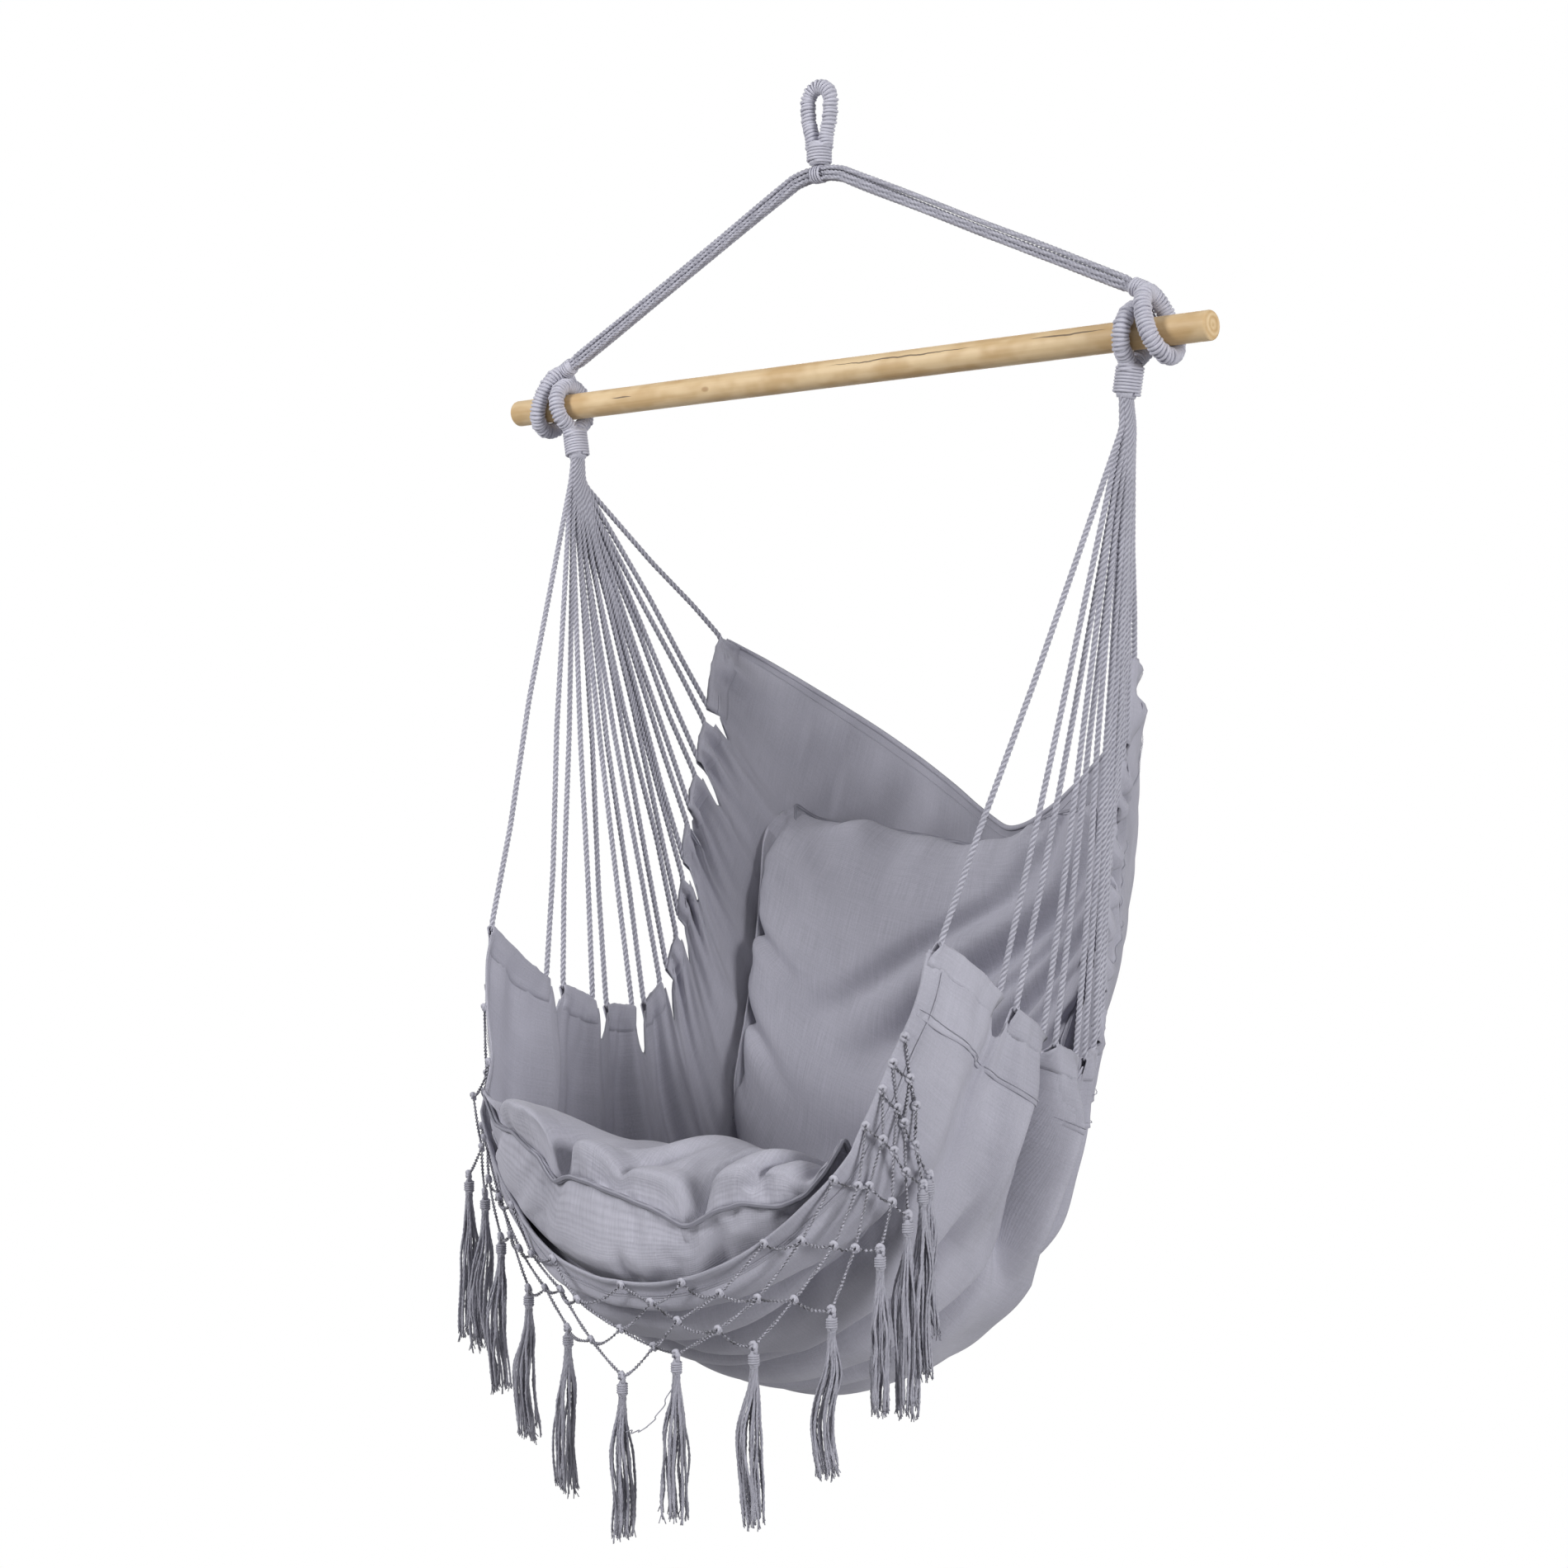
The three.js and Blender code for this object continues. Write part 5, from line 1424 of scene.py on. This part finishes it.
# %% [markdown]
# ## Knotted net
# A net of cotton cord hangs from the front hem. It is knotted in diamonds: each cord goes from a knot
# in one row to the next row, half a mesh to the side. The cords have some slack, so each one sags
# between its knots, and every knot is a small turn and a half of the cord itself.
# %% Net
NET_CORD = 0.0044
NET_ROWS = 4
KNOT_STRAY = 0.0028
NET_KNOT = 0.0031
NET = np.array([
    [-0.84, -1.06, -0.653, 0.799, 1.09], [-0.72, -0.926, -0.694, 0.812, 1.03],
    [-0.56, -0.776, -0.75, 0.849, 1], [-0.385, -0.571, -0.806, 0.89, 0.96],
    [-0.205, -0.317, -0.861, 0.916, 1.02], [0, 0.003, -0.922, 0.9455, 1],
    [0.163, 0.253, -0.931, 0.916, 0.98], [0.374, 0.554, -0.903, 0.899, 1.04],
    [0.56, 0.804, -0.833, 0.862, 0.98], [0.67, 0.92, -0.75, 0.809, 0.95],
    [0.74, 0.978, -0.694, 0.78, 1.16], [0.79, 1, -0.653, 0.7545, 1.14],
    [0.84, 0.987, -0.611, 0.748, 0.93],
])
NET_COLUMNS = np.insert(NET, np.arange(1, len(NET)), (NET[1:] + NET[:-1]) / 2, axis=0)
rng = np.random.default_rng(23)


def net_foot(column):
    return np.array([column[1] * SLING_HALF_WIDTH + BAR_PLACE, column[2] * SLING_DEPTH,
                     -BAR_DROP - column[3] * SLING_DROP])


def net_front(i):
    """The direction that the net faces at a column."""
    after, before = NET_COLUMNS[min(i + 1, len(NET_COLUMNS) - 1)], NET_COLUMNS[max(i - 1, 0)]
    here = NET_COLUMNS[i]
    tie = [cloth(0.0, c[0], 0.0052) for c in (before, here, after)]
    down = unit(net_foot(here) - tie[1])
    right = unit(net_foot(after) + tie[2] - net_foot(before) - tie[0])
    return unit(np.cross(down, right))


def net_knots():
    places = {}
    for i, column in enumerate(NET_COLUMNS):
        tie, foot = cloth(0.0, column[0], 0.0046), net_foot(column)
        for j in range(i % 2, NET_ROWS + 1, 2):
            share = j / NET_ROWS
            stray = rng.normal(0, KNOT_STRAY, 3) * (0 < j < NET_ROWS)
            places[i, j] = tie * (1 - share) + foot * share + stray
    return places


def turned_knot(yarn, centre, front, size, thick):
    """A turn and a half of cord, as a small pretzel."""
    turn = np.linspace(0, 3.2 * np.pi, 22)
    side = unit(np.cross(front, (0.1, 0.2, 1.0)))
    up = np.cross(side, front)
    line = centre + size * (np.cos(turn)[:, None] * side * 0.9 + np.sin(turn * 1.02)[:, None] * up
                            + 0.55 * np.sin(turn * 0.75 + 0.6)[:, None] * front)
    yarn.tube(line, thick, 6, 0)


net = Yarn()
knots = net_knots()
for (i, j), centre in knots.items():
    front = net_front(i)
    turned_knot(net, centre, front, NET_KNOT, NET_CORD)
    for k in (i - 1, i + 1):
        if (k, j + 1) in knots:
            end = knots[k, j + 1]
            span = np.linalg.norm(end - centre)
            share = np.linspace(0, 1, max(5, int(span / 0.0035)))[:, None]
            middle = len(NET_COLUMNS) // 2
            inwards = (k - i) * (middle - i) > 0
            sag = span * (rng.uniform(0.01, 0.035) if inwards else rng.uniform(0.10, 0.19))
            bow = np.array([0, 0, -1.0]) * 0.9 + front * 0.35 + rng.normal(0, 0.15, 3)
            line = centre + (end - centre) * share + 4 * share * (1 - share) * sag * bow
            net.tube(line, NET_CORD, 8, 2, 0.0085, turn=i + j, groove=0.6)
net_cotton = cord_material("net_cotton", (0.320, 0.317, 0.370), (0.520, 0.516, 0.590))
net_piece = net.finish("fringe_net_cords", net_cotton, "sling", "fringe", "fringe_net")
print("net knots:", len(knots))

# %% [markdown]
# ## Tassels
# Thirteen tassels hang from the net's lowest knots. A tassel is a hank of thin twisted cords that is
# doubled over the knot and bound under it. Every strand falls in its own wave, and its cut end frays
# into loose fibres. Each tassel has its own length, and its strands come from a seeded draw.
# %% Tassels
TASSEL_LENGTH = 0.168
TASSEL_STRANDS = 18
STRAND = 0.0036
STRAND_STEP = 0.0036
STRAND_STRAY = 0.0013
HEAD_DROP = 0.020
HEAD_CORE = 0.0098
HEAD_BINDING = 0.0024
FIBRE = 0.0013
FIBRES_PER_END = 4


def waves(rng, share, size):
    """A slow wander along a strand, with a little of a faster one."""
    return sum(rng.normal(0, size * weight) * np.sin(turns * 2 * np.pi * share + rng.uniform(0, 6.3))
               for turns, weight in ((0.6, 1.0), (1.2, 0.7), (2.1, 0.35), (3.6, 0.14)))


def strand_line(rng, top, length, turn, lean):
    """A strand from the head: it leaves round the rim, spreads and waves as it falls."""
    share = np.linspace(0, 1, int(length / STRAND_STEP))
    wide = 0.0026 + (0.0012 + 0.0088 * rng.random() ** 0.7) * smooth(share, 0.0, 0.5)
    swell = smooth(share, 0.02, 0.4)
    x = wide * math.cos(turn) + swell * (waves(rng, share, STRAND_STRAY) + lean[0](share))
    y = wide * math.sin(turn) + swell * (waves(rng, share, STRAND_STRAY) + lean[1](share))
    return top + np.stack([x, y, -length * share], axis=1)


def tassel(number, row):
    rng = np.random.default_rng(100 + number)
    made = Yarn()
    top = net_foot(row)
    length = TASSEL_LENGTH * row[4]
    head = top - np.array([0, 0, HEAD_DROP])
    turned_knot(made, top - (0, 0, 0.004), net_front(2 * number), 0.0036, 0.0034)
    core = np.linspace(top - (0, 0, 0.005), head - (0, 0, 0.004), 8)
    made.tube(core, HEAD_CORE, 10, 0, ends=lambda s: 0.55 + 0.45 * np.sin(np.pi * s) ** 0.6)
    bound = np.array([top - (0, 0, 0.0085), head + (0, 0, 0.001)])
    made.tube(spiral(bound, HEAD_CORE / 2, HEAD_BINDING, steps=10), HEAD_BINDING, 5, 0)
    sway = rng.normal(0, 0.0022, 2), rng.uniform(0, 6.3, 2)
    lean = [lambda s, a=a, p=p: a * (np.sin(5.5 * s + p) - np.sin(p)) for a, p in zip(*sway)]
    for k in range(TASSEL_STRANDS):
        turn = 2 * math.pi * (k + 0.4 * rng.random()) / TASSEL_STRANDS
        reach = (length - HEAD_DROP) * rng.uniform(0.90, 1.0)
        line = strand_line(rng, head, reach, turn, lean)
        made.tube(line, STRAND * rng.uniform(0.8, 1.05), 6, 2, 0.013, turn=k, groove=0.5,
                  ends=lambda s: 1 + 0.1 * np.sin(40 * s + k) - 0.25 * smooth(s, 0.95, 1))
        fall = unit(line[-1] - line[-6])
        for _ in range(FIBRES_PER_END):
            away = unit(fall + rng.normal(0, 0.16, 3))
            steps = np.linspace(0, 1, 4)[:, None]
            fibre = line[-2] + away * steps * rng.uniform(0.005, 0.012)
            made.tube(fibre, FIBRE, 3, 0)
    return made.finish(f"tassel_strands_{number + 1:02}", fringe, "sling", "fringe",
                       f"tassel_{number + 1:02}")


tassels = [tassel(number, row) for number, row in enumerate(NET)]
stray = Yarn()
low = net_foot(NET[5]) - (0, 0, 0.055)
far_end = net_foot(NET[6]) - (0, 0, 0.024)
share = np.linspace(0, 1, 48)[:, None]
loop_down = 4 * share * (1 - share) * np.array([[0.004, -0.012, -0.030]])
line = far_end + (low - far_end) * share + loop_down * (1 - 0.5 * share)
stray.tube(line + 0.0015 * np.sin(share * 40), FIBRE, 5, 0)
stray.finish("stray_thread", fringe, "sling", "fringe")
print("tassels:", len(tassels))

# %% [markdown]
# ## Room and light
# The chair hangs in a plain white room. The floor is far enough down that its shadow stays out of
# the photograph's frame. Near the chair the floor is real and keeps the shadow. Further off it
# turns to plain white for the camera only, so that it meets the white background without an edge.
# %% Floor and background
scene = bpy.context.scene
scene.view_settings.view_transform = "Standard"
FLOOR_HEIGHT = -1.95
FLOOR_SHADE = 0.46
FLOOR_RADIUS = 14
FADE_START, FADE_END = 2.04, 2.24
FADE_LEAST = 0.45


def seen_directly(base):
    """1 where the camera looks, straight or by way of a mirror or glass, and 0 for other light."""
    seen = base.node("ShaderNodeLightPath")
    glossy, through = seen.beside("Is Glossy Ray", "Is Transmission Ray")
    return seen + glossy + through


floor_mesh = bpy.data.meshes.new("floor")
floor_bm = bmesh.new()
bmesh.ops.create_circle(floor_bm, cap_ends=True, segments=96, radius=FLOOR_RADIUS)
bmesh.ops.translate(floor_bm, verts=floor_bm.verts, vec=(0, 0, FLOOR_HEIGHT))
floor_bm.to_mesh(floor_mesh)
floor_bm.free()
floor = bpy.data.objects.new("floor", floor_mesh)
scene.collection.objects.link(floor)
floor_look, floor_shader, base = new_material("pale_floor", 0.9)
floor_shader.inputs["Base Color"].default_value = (FLOOR_SHADE, FLOOR_SHADE, FLOOR_SHADE, 1)
place = base.node("ShaderNodeTexCoord", out="Object")
reach = base.node("ShaderNodeVectorMath", {"operation": "LENGTH"}, {0: place}, out="Value")
far_off = base.node("ShaderNodeMapRange", {"interpolation_type": "SMOOTHSTEP"}, {
    "Value": reach, "From Min": FADE_START, "From Max": FADE_END, "To Min": FADE_LEAST})
white = base.node("ShaderNodeEmission", {}, {"Strength": 1.0})
mixed = base.node("ShaderNodeMixShader", {}, {
    0: far_off * seen_directly(base), 1: Wire(base.tree, floor_shader.outputs[0]), 2: white})
surface = floor_look.node_tree.nodes["Material Output"].inputs["Surface"]
floor_look.node_tree.links.new(mixed.socket, surface)
floor_mesh.materials.append(floor_look)

world = bpy.data.worlds.new("studio")
world.use_nodes = True
scene.world = world
AMBIENT = 0.11
background = world.node_tree.nodes["Background"]
background.inputs["Color"].default_value = (1, 1, 1, 1)
strength = seen_directly(Wire(world.node_tree)).math("MINIMUM", 1.0)
strength = strength * (1 - AMBIENT) + AMBIENT
world.node_tree.links.new(strength.socket, background.inputs["Strength"])
print("floor at", FLOOR_HEIGHT, "m")

# %% [markdown]
# The strongest light comes from far out on the right, at the height of the loop, so the chair's
# right side shades the inside of the seat. A second soft lamp stands at the front left, a weak one
# high on the right, and a large one behind, which shows the back.
# %% Lamps
AIM = Vector((0.0, -0.05, -1.0))


def soft_lamp(name, place, size, power):
    light = bpy.data.lights.new(name, "AREA")
    light.shape = "SQUARE"
    light.size = size
    light.energy = power
    lamp = bpy.data.objects.new(name, light)
    lamp.location = place
    lamp.rotation_euler = (AIM - Vector(place)).to_track_quat("-Z", "Y").to_euler()
    scene.collection.objects.link(lamp)


soft_lamp("key_lamp", (6.6, -1.45, 0.10), 1.8, 305)
soft_lamp("front_lamp", (-1.7, -3.1, 0.8), 1.2, 108)
soft_lamp("high_lamp", (1.6, -1.0, 2.6), 1.2, 27)
soft_lamp("back_lamp", (-1.6, 3.2, 0.2), 2.4, 75)
